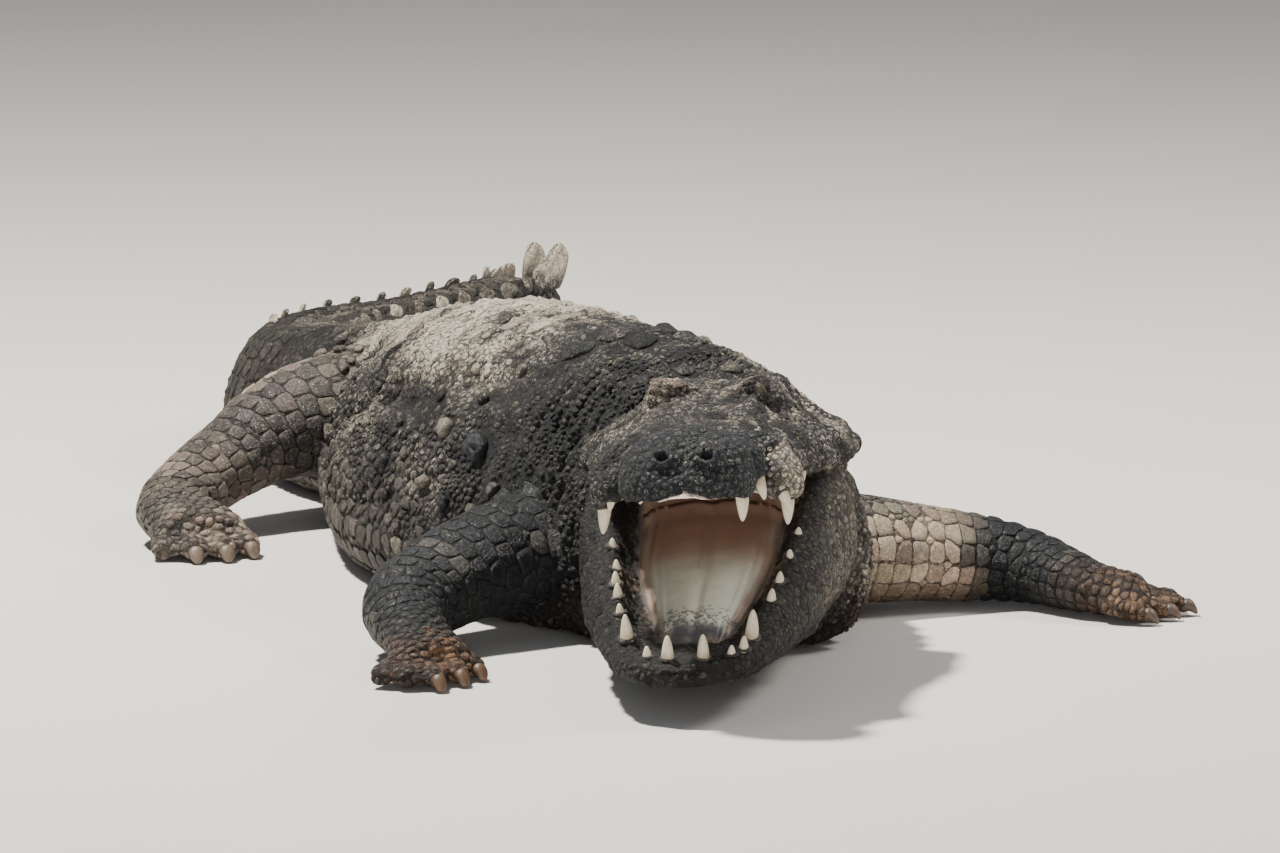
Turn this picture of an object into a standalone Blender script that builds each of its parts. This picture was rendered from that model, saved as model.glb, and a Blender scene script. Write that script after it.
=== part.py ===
"""A mugger crocodile, an old broad male, lying on its belly with its mouth open.

Metres, +Z up. The head points towards -Y and the animal's left side is +X. The origin is on
the floor, at the middle of the flat that the belly rests on. The body is one run of rounded
sections along a bent spine, parted into neck, trunk and lengths of tail by thin cuts.
"""

import math

import bmesh
import bpy
import numpy as np
from mathutils import Matrix, Vector

GAP = 0.0003

# Head, measured from the tip of the snout backwards.
HEAD_LENGTH = 0.510
HEAD_TURN = math.radians(24.4)
HEAD_ROLL = math.tan(math.radians(3.0))
HEAD_BACK = (0.006, -0.679)
LIP_Z = 0.270
LIP_SLOPE = -0.070
MOUTH_CORNER = 0.440
CLOSED_FROM, CORNER_LENGTH = 0.380, 0.050
SNOUT_END, CRANIUM_START = 0.240, 0.370
JAW_RIM_Z = 0.074
JAW_SLOPE = 0.372
THROAT_LIFT = 0.012
TONGUE_LIFT = 0.008
EYE_RADIUS = 0.0175
EYE_AT = (0.054, 0.346, 0.099)

# How far back, then half-width and height of the upper jaw and skull.
SKULL = (
    (0.000, 0.036, 0.030),
    (0.012, 0.062, 0.056),
    (0.032, 0.078, 0.074),
    (0.055, 0.081, 0.080),
    (0.088, 0.074, 0.068),
    (0.115, 0.102, 0.068),
    (0.150, 0.124, 0.072),
    (0.200, 0.122, 0.075),
    (0.260, 0.125, 0.082),
    (0.320, 0.139, 0.100),
    (0.370, 0.154, 0.113),
    (0.440, 0.170, 0.115),
    (0.510, 0.174, 0.110),
)
# How far back, then half-width, underside height and depth of the trough of the lower jaw.
MANDIBLE = (
    (0.000, 0.034, 0.050, 0.001),
    (0.012, 0.062, 0.044, 0.002),
    (0.030, 0.080, 0.041, 0.005),
    (0.060, 0.095, 0.038, 0.015),
    (0.120, 0.115, 0.034, 0.034),
    (0.200, 0.136, 0.030, 0.048),
    (0.300, 0.155, 0.024, 0.054),
    (0.400, 0.168, 0.018, 0.046),
    (0.510, 0.174, 0.012, 0.040),
)
# Stations between those of the tables, where the head's and the jaw's outlines bend most.
SKULL_BETWEEN = (0.004, 0.070, 0.132, 0.175, 0.290, 0.345, 0.395, 0.475)
MANDIBLE_BETWEEN = (0.004, 0.045, 0.090, 0.160, 0.250, 0.350, 0.425, 0.442)
# Along the spine: x, y, turn of the section in degrees, half-width, height and how far the
# section has gone from the trunk's outline (0) to the tail's (1).
SPINE = (
    (0.006, -0.679, 24.4, 0.183, 0.338, 0.55),
    (0.024, -0.580, 12.0, 0.206, 0.344, 0.35),
    (0.022, -0.475, -2.0, 0.228, 0.358, 0.10),
    (-0.012, -0.270, -8.0, 0.256, 0.366, 0.00),
    (-0.034, -0.040, -1.0, 0.256, 0.358, 0.00),
    (-0.020, 0.220, 6.0, 0.214, 0.315, 0.10),
    (0.002, 0.470, 3.0, 0.170, 0.268, 0.45),
    (-0.034, 0.670, -8.0, 0.148, 0.234, 0.75),
    (-0.054, 0.860, 6.0, 0.130, 0.204, 0.90),
    (0.030, 1.060, 36.0, 0.112, 0.190, 1.00),
    (0.196, 1.190, 48.0, 0.096, 0.184, 1.00),
    (0.372, 1.330, 40.0, 0.081, 0.184, 1.00),
    (0.476, 1.510, 26.0, 0.062, 0.156, 1.00),
    (0.560, 1.740, 18.0, 0.042, 0.114, 1.00),
    (0.640, 1.970, 18.0, 0.024, 0.072, 1.00),
    (0.710, 2.180, 18.0, 0.008, 0.028, 1.00),
)
NECK_END = 2.0
TRUNK_END = 6.6
TAIL_CUTS = (TRUNK_END, 9.0, 11.0, 13.0, 15.0)

# Rings of each length of the body, and points in half a ring of the body and of the tail.
NECK_STEPS, TRUNK_STEPS, TAIL_STEPS = 6, 11, 7
BODY_POINTS, TAIL_POINTS = 14, 9
SKULL_POINTS, JAW_POINTS, TONGUE_POINTS = 11, 12, 7
LEG_POINTS, TOE_POINTS, CLAW_POINTS = 10, 6, 7

# Half outlines, as shares of half-width and height, from the middle of the underside up.
TRUNK_OUTLINE = (
    (0.00, 0.00), (0.42, 0.00), (0.74, 0.00), (0.93, 0.06), (1.00, 0.20),
    (0.93, 0.42), (0.76, 0.66), (0.50, 0.87), (0.24, 0.97), (0.00, 1.00),
)
TAIL_OUTLINE = (
    (0.00, 0.00), (0.36, 0.00), (0.68, 0.03), (0.92, 0.16), (1.00, 0.36),
    (0.94, 0.58), (0.80, 0.78), (0.60, 0.93), (0.30, 0.97), (0.00, 0.96),
)
SNOUT_OUTLINE = (
    (0.00, 0.14), (0.40, 0.12), (0.74, 0.02), (0.90, -0.04), (0.99, 0.06),
    (1.00, 0.28), (0.92, 0.60), (0.74, 0.86), (0.42, 0.98), (0.00, 1.00),
)
CRANIUM_OUTLINE = (
    (0.00, 0.00), (0.40, 0.00), (0.74, 0.00), (0.90, 0.00), (0.98, 0.06),
    (1.00, 0.22), (0.87, 0.44), (0.62, 0.66), (0.40, 0.95), (0.00, 0.97),
)

# Each leg: hip or shoulder, knee or elbow, ankle or wrist, ball of the foot; then the heading
# of the toes in degrees from straight ahead, turning towards the animal's left.
LEGS = {
    "fore_right": (
        (-0.120, -0.455, 0.115), (-0.378, -0.570, 0.064), (-0.398, -0.700, 0.044),
        (-0.400, -0.765, 0.030), 4.0,
    ),
    "fore_left": (
        (0.120, -0.480, 0.085), (0.462, -0.468, 0.056), (0.528, -0.604, 0.038),
        (0.576, -0.638, 0.029), 66.0,
    ),
    "hind_right": (
        (-0.060, 0.450, 0.150), (-0.265, 0.410, 0.118), (-0.418, 0.300, 0.050),
        (-0.414, 0.195, 0.034), -4.0,
    ),
    "hind_left": (
        (0.060, 0.450, 0.150), (0.270, 0.430, 0.118), (0.395, 0.335, 0.050),
        (0.400, 0.225, 0.034), 10.0,
    ),
}
# Where the joint's bend lies, as shares of the way towards the leg's root and its end.
JOINT_BEFORE, JOINT_AFTER = 0.22, 0.28
FLOOR_BLOCK, FLOOR_BLOCK_AT = (4.0, 6.0, 0.2), (0.0, 0.5, -0.1)
# Half-thickness across and up at the root, at the joint on either side, and at the foot.
FORE_SIZES = ((0.084, 0.080), (0.068, 0.062), (0.055, 0.050), (0.045, 0.036), (0.054, 0.030))
HIND_SIZES = ((0.110, 0.096), (0.080, 0.076), (0.062, 0.058), (0.054, 0.045), (0.066, 0.034))
# A leg is made of this many rings between two of its points; it parts at these rings.
LEG_STEPS, LEG_JOINT, LEG_ANKLE = 4, 6, 11
# Front end of the palm or sole: how far ahead of the ball, and its width and height as shares.
PALM_END = (0.020, 0.86, 0.70)
# Toes from the innermost outwards: how far outwards of the ball's middle, turn away from the
# foot's own heading, length, and how far the toe's root lies behind the ball.
FORE_TOES = (
    (-0.045, -10.0, 0.054, 0.030), (-0.016, -4.0, 0.062, 0.012), (0.014, 3.0, 0.070, 0.000),
    (0.036, 14.0, 0.062, 0.000), (0.046, 42.0, 0.052, 0.008),
)
HIND_TOES = (
    (-0.050, -8.0, 0.062, 0.012), (-0.017, -3.0, 0.068, 0.000), (0.017, 3.0, 0.068, 0.000),
    (0.050, 10.0, 0.062, 0.008),
)
FORE_TOE_THICK, HIND_TOE_THICK = 0.0175, 0.0205
# Along a toe: share of its length, share of its thickness, and height of its middle.
TOE_PATH = ((-0.02, 0.90, 0.022), (0.30, 1.00, 0.021), (0.75, 0.92, 0.017), (1.00, 0.76, 0.013))
CLAWED_TOES = 3
CLAW_LENGTH = 0.017
CLAW_HEIGHT = 0.012
CLAW_ARCH, CLAW_DROP = 0.004, 0.006
FORE_CLAW_RADIUS, HIND_CLAW_RADIUS = 0.0098, 0.0108
# Along a claw: share of its length and share of its radius.
CLAW_PATH = ((0.00, 1.00), (0.45, 0.94), (0.85, 0.70), (1.00, 0.42))

# Crest of the tail: pitch and thickness of its scutes, their height along the spine, and where
# its two rows become one.
WHORL = 0.058
CREST_THICKNESS = 0.007
CREST_HEIGHT = (
    (8.6, 0.008), (10.0, 0.012), (11.2, 0.016), (11.8, 0.050), (12.8, 0.056), (13.8, 0.040),
    (14.7, 0.014),
)
CREST_JOINS = 12.4
# Outline of a scute, as shares of the pitch along the tail and of its height.
SCUTE_OUTLINE = ((-0.46, -0.25), (0.46, -0.25), (0.56, 0.95), (0.02, 0.90))
SCUTE_LEAN = 0.22

# Teeth: side (+1 is the animal's left), how far back, length, lean outwards and, in the lower
# jaw, how far out as a share of the half-width.
UPPER_TEETH = (
    (1, 0.062, 0.030, 0.05), (-1, 0.080, 0.013, 0.10), (-1, 0.150, 0.036, 0.05), (1, 0.150, 0.032, 0.05),
    (-1, 0.174, 0.020, 0.10), (1, 0.100, 0.014, 0.50), (1, 0.120, 0.022, 0.70), (-1, 0.125, 0.012, 0.20),
    (1, 0.180, 0.014, 0.10), (-1, 0.230, 0.013, 0.10), (1, 0.225, 0.013, 0.10), (-1, 0.285, 0.013, 0.10),
    (1, 0.280, 0.014, 0.10),
)
LOWER_TEETH = (
    (-1, 0.025, 0.025, 0.00, 0.29), (1, 0.027, 0.024, 0.00, 0.26), (-1, 0.070, 0.028, 0.10, 0.75),
    (1, 0.067, 0.030, 0.10, 0.76), (-1, 0.030, 0.010, 0.10, 0.58), (1, 0.026, 0.010, 0.10, 0.70),
    (1, 0.040, 0.013, 0.10, 0.78), (-1, 0.123, 0.012, 0.20, 0.75), (1, 0.139, 0.015, 0.20, 0.76),
    (-1, 0.163, 0.015, 0.10, 0.74), (1, 0.184, 0.015, 0.10, 0.75), (-1, 0.192, 0.014, 0.10, 0.74),
    (-1, 0.222, 0.012, 0.10, 0.72), (1, 0.240, 0.012, 0.10, 0.74), (-1, 0.280, 0.011, 0.10, 0.74),
    (1, 0.290, 0.011, 0.10, 0.74),
)
# Along a tooth: share of its length and share of its radius; then its size and setting.
TOOTH_PATH = ((0.00, 0.95), (0.62, 0.80), (1.00, 0.12))
TOOTH_POINTS = 5
TOOTH_RADIUS, TOOTH_TAPER = 0.0045, 0.12
UPPER_ROOT, LOWER_ROOT = 0.012, 0.010
SPLAYED, SPLAYED_INSET = 0.4, 0.004
NOTCH_BACK, FRONT_INSET, TOOTH_INSET = 0.100, 0.013, 0.010
# Tongue: how far back, and its half-width as a share of the jaw's.
TONGUE = ((0.066, 0.14), (0.100, 0.24), (0.160, 0.30), (0.230, 0.37), (0.310, 0.43), (0.404, 0.42))
TONGUE_STATIONS = (0.070, 0.076, 0.095, 0.130, 0.180, 0.240, 0.300, 0.360, 0.392, 0.400)
TONGUE_OUTLINE = (
    (0.00, 0.00), (0.55, 0.00), (0.90, 0.08), (1.00, 0.45), (0.85, 0.85), (0.45, 0.98),
    (0.00, 0.90),
)
# Thickness as a share of the trough's depth, and how soon it fills out behind its tip and root.
TONGUE_THICK, TONGUE_TAPER = 0.4, (0.05, 0.03)

COLOURS = {
    "hide": ((0.085, 0.080, 0.075, 1.0), 0.75),
    "mouth": ((0.74, 0.66, 0.55, 1.0), 0.45),
    "eye": ((0.20, 0.17, 0.07, 1.0), 0.15),
    "claw": ((0.30, 0.22, 0.15, 1.0), 0.55),
}


def table(rows, at):
    """Reads a table of stations smoothly: the first column is the place, the rest are values."""
    rows = np.asarray(rows, float)
    place, values = rows[:, 0], rows[:, 1:]
    step = np.diff(place)[:, None]
    slope = np.diff(values, axis=0) / step
    tangent = np.vstack([slope[:1], (slope[1:] + slope[:-1]) / 2, slope[-1:]])
    i = int(np.clip(np.searchsorted(place, at, side="right") - 1, 0, len(place) - 2))
    width = place[i + 1] - place[i]
    f = (at - place[i]) / width
    start = (1 + 2 * f) * (1 - f) ** 2 * values[i] + f * (1 - f) ** 2 * width * tangent[i]
    end = f * f * (3 - 2 * f) * values[i + 1] + f * f * (f - 1) * width * tangent[i + 1]
    return start + end


def evenly(points, count):
    """A smooth curve through the points, read at count + 1 places of even spacing."""
    points = np.asarray(points, float)
    rows = np.column_stack([np.arange(len(points)), points])
    fine = np.array([table(rows, at) for at in np.linspace(0, len(points) - 1, 12 * len(points))])
    run = np.concatenate([[0], np.cumsum(np.linalg.norm(np.diff(fine, axis=0), axis=1))])
    wanted = np.linspace(0, run[-1], count + 1)
    return np.column_stack([np.interp(wanted, run, fine[:, k]) for k in range(fine.shape[1])])


def whole_ring(half):
    """A half outline and its mirror image, as one ring of (x, z) that runs anticlockwise."""
    mirrored = half[-2:0:-1] * np.array([-1.0, 1.0])
    return np.vstack([half, mirrored])


def material(name):
    """A plain finish for the solids."""
    found = bpy.data.materials.get(name)
    if found:
        return found
    made = bpy.data.materials.new(name)
    made.use_nodes = True
    shader = made.node_tree.nodes["Principled BSDF"]
    colour, roughness = COLOURS[name]
    shader.inputs["Base Color"].default_value = colour
    shader.inputs["Roughness"].default_value = roughness
    shader.inputs["Metallic"].default_value = 0.0
    return made


def node(name, bm, finish):
    """Turns a bmesh into a named object, parented to the animal's empty."""
    bmesh.ops.recalc_face_normals(bm, faces=bm.faces)
    mesh = bpy.data.meshes.new(name)
    bm.to_mesh(mesh)
    bm.free()
    mesh.shade_smooth()
    mesh.set_sharp_from_angle(angle=math.radians(50))
    made = bpy.data.objects.new(name, mesh)
    made.data.materials.append(material(finish))
    made.parent = bpy.data.objects["crocodile"]
    bpy.context.scene.collection.objects.link(made)
    return made


def loft(rings):
    """A closed body through rings of equal count, with a flat cap at each end."""
    bm = bmesh.new()
    made = [[bm.verts.new(Vector(point)) for point in ring] for ring in rings]
    count = len(made[0])
    for before, after in zip(made, made[1:]):
        for k in range(count):
            following = (k + 1) % count
            bm.faces.new((before[k], before[following], after[following]))
            bm.faces.new((before[k], after[following], after[k]))
    bm.faces.new(reversed(made[0]))
    bm.faces.new(made[-1])
    bmesh.ops.triangulate(bm, faces=[face for face in bm.faces if len(face.verts) > 4])
    return bm


def boolean(target, other, operation):
    """Applies an exact Boolean with another object, which is then dropped."""
    other.hide_render = True
    other.display_type = "WIRE"
    modifier = target.modifiers.new("cut", "BOOLEAN")
    modifier.operation = operation
    modifier.object = other
    modifier.solver = "EXACT"
    bpy.context.view_layer.update()
    evaluated = target.evaluated_get(bpy.context.evaluated_depsgraph_get())
    mesh = bpy.data.meshes.new_from_object(evaluated)
    target.modifiers.clear()
    target.data = mesh
    bpy.data.objects.remove(other)


# ---- spine ---------------------------------------------------------------------------------

def spine(at):
    """Centre, turn, half-width, height and outline share at a place counted in stations."""
    rows = np.column_stack([np.arange(len(SPINE)), SPINE])
    x, y, turn, half_width, height, share = table(rows, at)
    return Vector((x, y, 0.0)), math.radians(turn), half_width, height, share


def body_ring(at, count=BODY_POINTS, shift=0.0, grow=0.0):
    """The section of the body at a place on the spine, shifted along it or grown a little."""
    centre, turn, half_width, height, share = spine(at)
    outline = (1 - share) * np.array(TRUNK_OUTLINE) + share * np.array(TAIL_OUTLINE)
    half = evenly(outline, count) * np.array([half_width + grow, height + grow])
    left = Vector((math.cos(turn), -math.sin(turn), 0.0))
    back = Vector((math.sin(turn), math.cos(turn), 0.0))
    lean = HEAD_ROLL * max(0.0, 1.0 - at / NECK_END)
    lift = THROAT_LIFT * max(0.0, 1.0 - at) ** 2
    ring = []
    for x, z in whole_ring(half):
        up = max(z + lean * x * min(1.0, z / 0.1), lift * (1 - z / height) + z, 0.0)
        ring.append(centre + left * x + back * shift + Vector((0, 0, up)))
    return ring


def body_length(start, end, steps, count=BODY_POINTS):
    """A length of the body between two cuts, as rings."""
    places = np.linspace(start, end, steps + 1)
    rings = [body_ring(at, count) for at in places]
    rings[0] = body_ring(start, count, shift=GAP / 2)
    rings[-1] = body_ring(end, count, shift=-GAP / 2)
    return rings


def neck():
    node("neck", loft(body_length(0.0, NECK_END, NECK_STEPS)), "hide")


def trunk():
    node("trunk", loft(body_length(NECK_END, TRUNK_END, TRUNK_STEPS)), "hide")


def crest_scute(at, side, size):
    """One upright scute of the crest: a thin flake that leans back."""
    centre, turn, half_width, height, _ = spine(at)
    left = Vector((math.cos(turn), -math.sin(turn), 0.0))
    back = Vector((math.sin(turn), math.cos(turn), 0.0))
    foot = centre + left * (side * 0.50 * half_width) + Vector((0, 0, height * 0.90))
    lean = (left * (SCUTE_LEAN * side) + Vector((0, 0, 1.0))).normalized()
    bm = bmesh.new()
    faces = []
    for half in (-0.5, 0.5):
        across = left * (half * CREST_THICKNESS)
        faces.append([
            bm.verts.new(foot + back * (u * WHORL) + lean * (v * size) + across)
            for u, v in SCUTE_OUTLINE
        ])
    for k in range(len(SCUTE_OUTLINE)):
        following = (k + 1) % len(SCUTE_OUTLINE)
        bm.faces.new((faces[0][k], faces[0][following], faces[1][following], faces[1][k]))
    bm.faces.new(reversed(faces[0]))
    bm.faces.new(faces[1])
    return node("scute", bm, "hide")


def whorls():
    """Places of the crest's scutes along the spine, an even pitch apart, with their height."""
    first, last = CREST_HEIGHT[0][0], CREST_HEIGHT[-1][0]
    fine = np.linspace(first, last, 400)
    points = np.array([spine(at)[0] for at in fine])
    run = np.concatenate([[0], np.cumsum(np.linalg.norm(np.diff(points, axis=0), axis=1))])
    for distance in np.arange(0.0, run[-1], WHORL):
        at = float(np.interp(distance, run, fine))
        yield at, float(table(CREST_HEIGHT, at)[0])


def tail():
    """The tail in four lengths, each joined with its own crest scutes."""
    for number, (start, end) in enumerate(zip(TAIL_CUTS, TAIL_CUTS[1:]), 1):
        rings = body_length(start, end, TAIL_STEPS, TAIL_POINTS)
        if end == TAIL_CUTS[-1]:
            rings[-1] = body_ring(end, TAIL_POINTS)
        made = node(f"tail_{number}", loft(rings), "hide")
        for at, size in whorls():
            margin = 0.02 + 0.6 * WHORL / (spine(at + 0.5)[0] - spine(at - 0.5)[0]).length
            if not start + margin < at < end - margin:
                continue
            sides = (-1, 1) if at < CREST_JOINS else (0,)
            for side in sides:
                boolean(made, crest_scute(at, side, size), "UNION")


# ---- head ----------------------------------------------------------------------------------

def head_point(x, back, z):
    """World place of a point in the head: sideways, back from the snout's tip, and up."""
    turn_back = Vector((math.sin(HEAD_TURN), math.cos(HEAD_TURN), 0.0))
    turn_left = Vector((math.cos(HEAD_TURN), -math.sin(HEAD_TURN), 0.0))
    start = Vector((HEAD_BACK[0], HEAD_BACK[1], 0.0)) - turn_back * HEAD_LENGTH
    return start + turn_back * back + turn_left * x + Vector((0, 0, z + HEAD_ROLL * x))


def lip_z(back):
    return LIP_Z + LIP_SLOPE * back


def festoon(back):
    """How far the edge of the upper lip waves above or below a straight line."""
    notch = 0.010 * math.exp(-((back - 0.090) / 0.016) ** 2)
    lobe = -0.012 * math.exp(-((back - 0.155) / 0.034) ** 2)
    rise = 0.008 * math.exp(-((back - 0.255) / 0.045) ** 2)
    return notch + lobe + rise


def bump(x, back, centre, radius, height):
    distance = ((abs(x) - centre[0]) ** 2 + (back - centre[1]) ** 2) / radius**2
    return height * math.exp(-distance)


def skull_relief(x, back):
    """What stands above the smooth top: nose disc, brows, boss behind the nose, snout ridge."""
    return (
        bump(x, back, (0.000, 0.046), 0.034, 0.010)
        + bump(x, back, (0.050, 0.352), 0.026, 0.016)
        - bump(x, back, (0.000, 0.350), 0.026, 0.008)
        + bump(x, back, (0.088, 0.152), 0.026, 0.010)
        + bump(x, back, (0.078, 0.490), 0.024, 0.008)
    )


def skull():
    """Upper jaw and skull, with the eyes' sockets and the upper teeth."""
    rings = []
    for back in sorted([row[0] for row in SKULL] + list(SKULL_BETWEEN)):
        half_width, height = table(SKULL, back)
        share = min(1.0, max(0.0, (back - SNOUT_END) / (CRANIUM_START - SNOUT_END)))
        outline = (1 - share) * np.array(SNOUT_OUTLINE) + share * np.array(CRANIUM_OUTLINE)
        ring = []
        wave = festoon(back)
        for x, z in whole_ring(evenly(outline, SKULL_POINTS)) * np.array([half_width, height]):
            upper = min(1.0, max(0.0, z / (0.6 * height)))
            z += skull_relief(x, back) * upper + wave * (1 - min(1.0, max(0.0, z / height)))
            z = max(z, 0.0) if back > CLOSED_FROM else z
            ring.append(head_point(x, back, lip_z(back) + z))
        rings.append(ring)
    made = node("head", loft(rings), "hide")
    for side in (-1, 1):
        boolean(made, eyeball(side, EYE_RADIUS + GAP, "socket"), "DIFFERENCE")
    for side, back, length, lean in UPPER_TEETH:
        if lean > SPLAYED:
            inset = SPLAYED_INSET
        else:
            inset = (FRONT_INSET if back < NOTCH_BACK else TOOTH_INSET) + TOOTH_TAPER * length
        x = side * (table(SKULL, back)[0] - inset)
        level = lip_z(back) + festoon(back)
        root = head_point(x, back + 0.006, level + UPPER_ROOT)
        tip = head_point(x + side * lean * length, back, level - length)
        boolean(made, tooth(root, tip, length), "UNION")


def eyeball(side, radius, name):
    bm = bmesh.new()
    x, back, z = EYE_AT
    place = Matrix.Translation(head_point(side * x, back, lip_z(back) + z))
    bmesh.ops.create_uvsphere(bm, u_segments=12, v_segments=7, radius=radius, matrix=place)
    return node(name, bm, "eye")


def tooth(root, tip, length):
    """A pointed cone from inside the gum to its tip, with a slightly fuller middle."""
    radius = TOOTH_RADIUS + TOOTH_TAPER * length
    axis = tip - root
    across = axis.cross(Vector((1, 0, 0))).normalized()
    other = axis.cross(across).normalized()
    rings = []
    for share, size in TOOTH_PATH:
        ring = []
        for k in range(TOOTH_POINTS):
            angle = 2 * math.pi * k / TOOTH_POINTS
            outward = across * math.cos(angle) + other * math.sin(angle)
            ring.append(root + axis * share + outward * (radius * size))
        rings.append(ring)
    return node("tooth", loft(rings), "claw")


def jaw_rim(back):
    """Height of the lower jaw's rim, which closes onto the upper jaw behind the mouth's corner."""
    return min(JAW_RIM_Z + JAW_SLOPE * back, lip_z(back) - 2 * GAP)


def closing(back):
    """How open the trough is: 1 in the mouth, falling to 0 at its corner."""
    return min(1.0, max(0.0, (MOUTH_CORNER - back) / CORNER_LENGTH))


def mandible_ring(back):
    half_width, under, trough = table(MANDIBLE, back)
    rim = jaw_rim(back)
    trough *= closing(back)
    tall = rim - under
    inner = (1 - trough / tall) if tall > 0 else 1.0
    outline = (
        (0.00, 0.00), (0.42, 0.02), (0.74, 0.12), (0.95, 0.36), (1.00, 0.60), (0.97, 0.80),
        (0.89, 0.94), (0.79, 1.00), (0.70, 1.00), (0.62, 0.45 + 0.55 * inner),
        (0.50, 0.12 + 0.88 * inner), (0.30, inner), (0.00, inner),
    )
    half = evenly(outline, JAW_POINTS)
    half[:, 1] = np.minimum(half[:, 1], 1.0)
    half[-1, 0] = 0.0
    return [
        head_point(x * half_width, back, under + z * tall)
        for x, z in whole_ring(half)
    ]


def mandible():
    """Lower jaw with its trough and teeth."""
    stations = sorted([row[0] for row in MANDIBLE] + list(MANDIBLE_BETWEEN))
    made = node("lower_jaw", loft([mandible_ring(back) for back in stations]), "hide")
    for side, back, length, lean, share in LOWER_TEETH:
        x = side * table(MANDIBLE, back)[0] * share
        root = head_point(x, back, jaw_rim(back) - LOWER_ROOT)
        tip = head_point(x + side * lean * length, back - 0.2 * length, jaw_rim(back) + length)
        boolean(made, tooth(root, tip, length), "UNION")


def tongue():
    """A broad flat tongue that fills the floor of the mouth."""
    first, last = TONGUE[0][0], TONGUE[-1][0]
    rings = []
    for back in TONGUE_STATIONS:
        half_width, _, trough = table(MANDIBLE, back)
        floor = jaw_rim(back) - trough * closing(back) + TONGUE_LIFT
        front = min(1.0, math.sqrt((back - first) / TONGUE_TAPER[0]))
        end = min(1.0, math.sqrt((last - back) / TONGUE_TAPER[1]))
        thick = TONGUE_THICK * trough * min(front, end)
        wide = half_width * table(TONGUE, back)[0]
        half = evenly(TONGUE_OUTLINE, TONGUE_POINTS) * np.array([wide, thick])
        rings.append([head_point(x, back, floor + max(0.0, z)) for x, z in whole_ring(half)])
    node("tongue", loft(rings), "mouth")


# ---- legs ----------------------------------------------------------------------------------

def tube_ring(centre, axis, half_across, half_up, count=LEG_POINTS):
    """A ring square to an axis, wide across and tall up."""
    across = axis.cross(Vector((0, 0, 1)))
    across = across.normalized() if across.length > 1e-6 else Vector((1, 0, 0))
    up = across.cross(axis).normalized()
    ring = []
    for k in range(count):
        angle = 2 * math.pi * k / count
        ring.append(centre + across * (math.cos(angle) * half_across) + up * (math.sin(angle) * half_up))
    return ring


def limb_sections(points, sizes):
    """Centre, direction and half-thicknesses along a limb that bends smoothly at its joints."""
    rows = [(k, *point, *size) for k, (point, size) in enumerate(zip(points, sizes))]
    last = len(points) - 1
    found = []
    for at in np.linspace(0, last, LEG_STEPS * last + 1):
        x, y, z, across, up = table(rows, at)
        ahead = table(rows, min(last, at + 0.05))[:3] - table(rows, max(0, at - 0.05))[:3]
        found.append((Vector((x, y, z)), Vector(ahead).normalized(), across, up))
    return found


def floor_block():
    """A block under the floor that trims each foot to a flat."""
    bm = bmesh.new()
    place = Matrix.Translation(FLOOR_BLOCK_AT) @ Matrix.Diagonal((*FLOOR_BLOCK, 1.0))
    bmesh.ops.create_cube(bm, size=1.0, matrix=place)
    return node("floor_block", bm, "hide")


def joint_points(leg):
    """The limb's path: root, joint, end and ball, with the joint's bend given two places."""
    root, joint, end, ball = (Vector(point) for point in leg[:4])
    before = joint + (root - joint) * JOINT_BEFORE
    after = joint + (end - joint) * JOINT_AFTER
    return (root, before, after, end, ball)


def leg(name):
    """Upper leg, lower leg and foot, with toes and claws."""
    sizes = FORE_SIZES if name.startswith("fore") else HIND_SIZES
    found = limb_sections(joint_points(LEGS[name]), sizes)
    for part, first, last in (("upper", 0, LEG_JOINT), ("lower", LEG_JOINT, LEG_ANKLE)):
        rings = limb_part(found[first:last + 1], GAP if first else 0.0)
        made = node(f"{name}_{part}", loft(rings), "hide")
        boolean(made, floor_block(), "DIFFERENCE")
        if part == "upper":
            boolean(made, grown_body(), "DIFFERENCE")
    foot(name, found[LEG_ANKLE:])


def limb_part(found, gap):
    """Rings of a length of limb, whose first ring stands back from the part before it."""
    rings = []
    for k, (centre, axis, across, up) in enumerate(found):
        shifted = centre + axis * gap if k == 0 else centre
        rings.append(tube_ring(shifted, axis, across, up))
    return rings


def foot(name, found):
    """Palm or sole with its toes as one body, and three claws."""
    fore = name.startswith("fore")
    ball = Vector(LEGS[name][3])
    heading = math.radians(LEGS[name][4])
    ahead = Vector((math.sin(heading), -math.cos(heading), 0.0))
    outwards = Vector((math.cos(heading), math.sin(heading), 0.0))
    side = -1.0 if name.endswith("right") else 1.0
    reach, wide, tall = PALM_END
    end = tube_ring(ball + ahead * reach, ahead, found[-1][2] * wide, found[-1][3] * tall)
    made = node(f"{name}_foot", loft(limb_part(found, GAP) + [end]), "hide")
    thick = FORE_TOE_THICK if fore else HIND_TOE_THICK
    radius = FORE_CLAW_RADIUS if fore else HIND_CLAW_RADIUS
    for number, (aside, spread, length, setback) in enumerate(FORE_TOES if fore else HIND_TOES):
        angle = heading + side * math.radians(spread)
        axis = Vector((math.sin(angle), -math.cos(angle), 0.0))
        start = ball + outwards * (side * aside) - ahead * setback
        boolean(made, toe(start, axis, length, thick), "UNION")
        if number < CLAWED_TOES:
            claw(f"{name}_claw_{number + 1}", start + axis * length, axis, radius)
    boolean(made, floor_block(), "DIFFERENCE")


def toe(start, axis, length, thick):
    """A toe from inside the palm to its flat end."""
    rings = []
    for share, size, z in TOE_PATH:
        centre = start + axis * (length * share)
        centre.z = z
        rings.append(tube_ring(centre, axis, thick * size, thick * 0.9 * size, TOE_POINTS))
    return node("toe", loft(rings), "hide")


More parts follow.
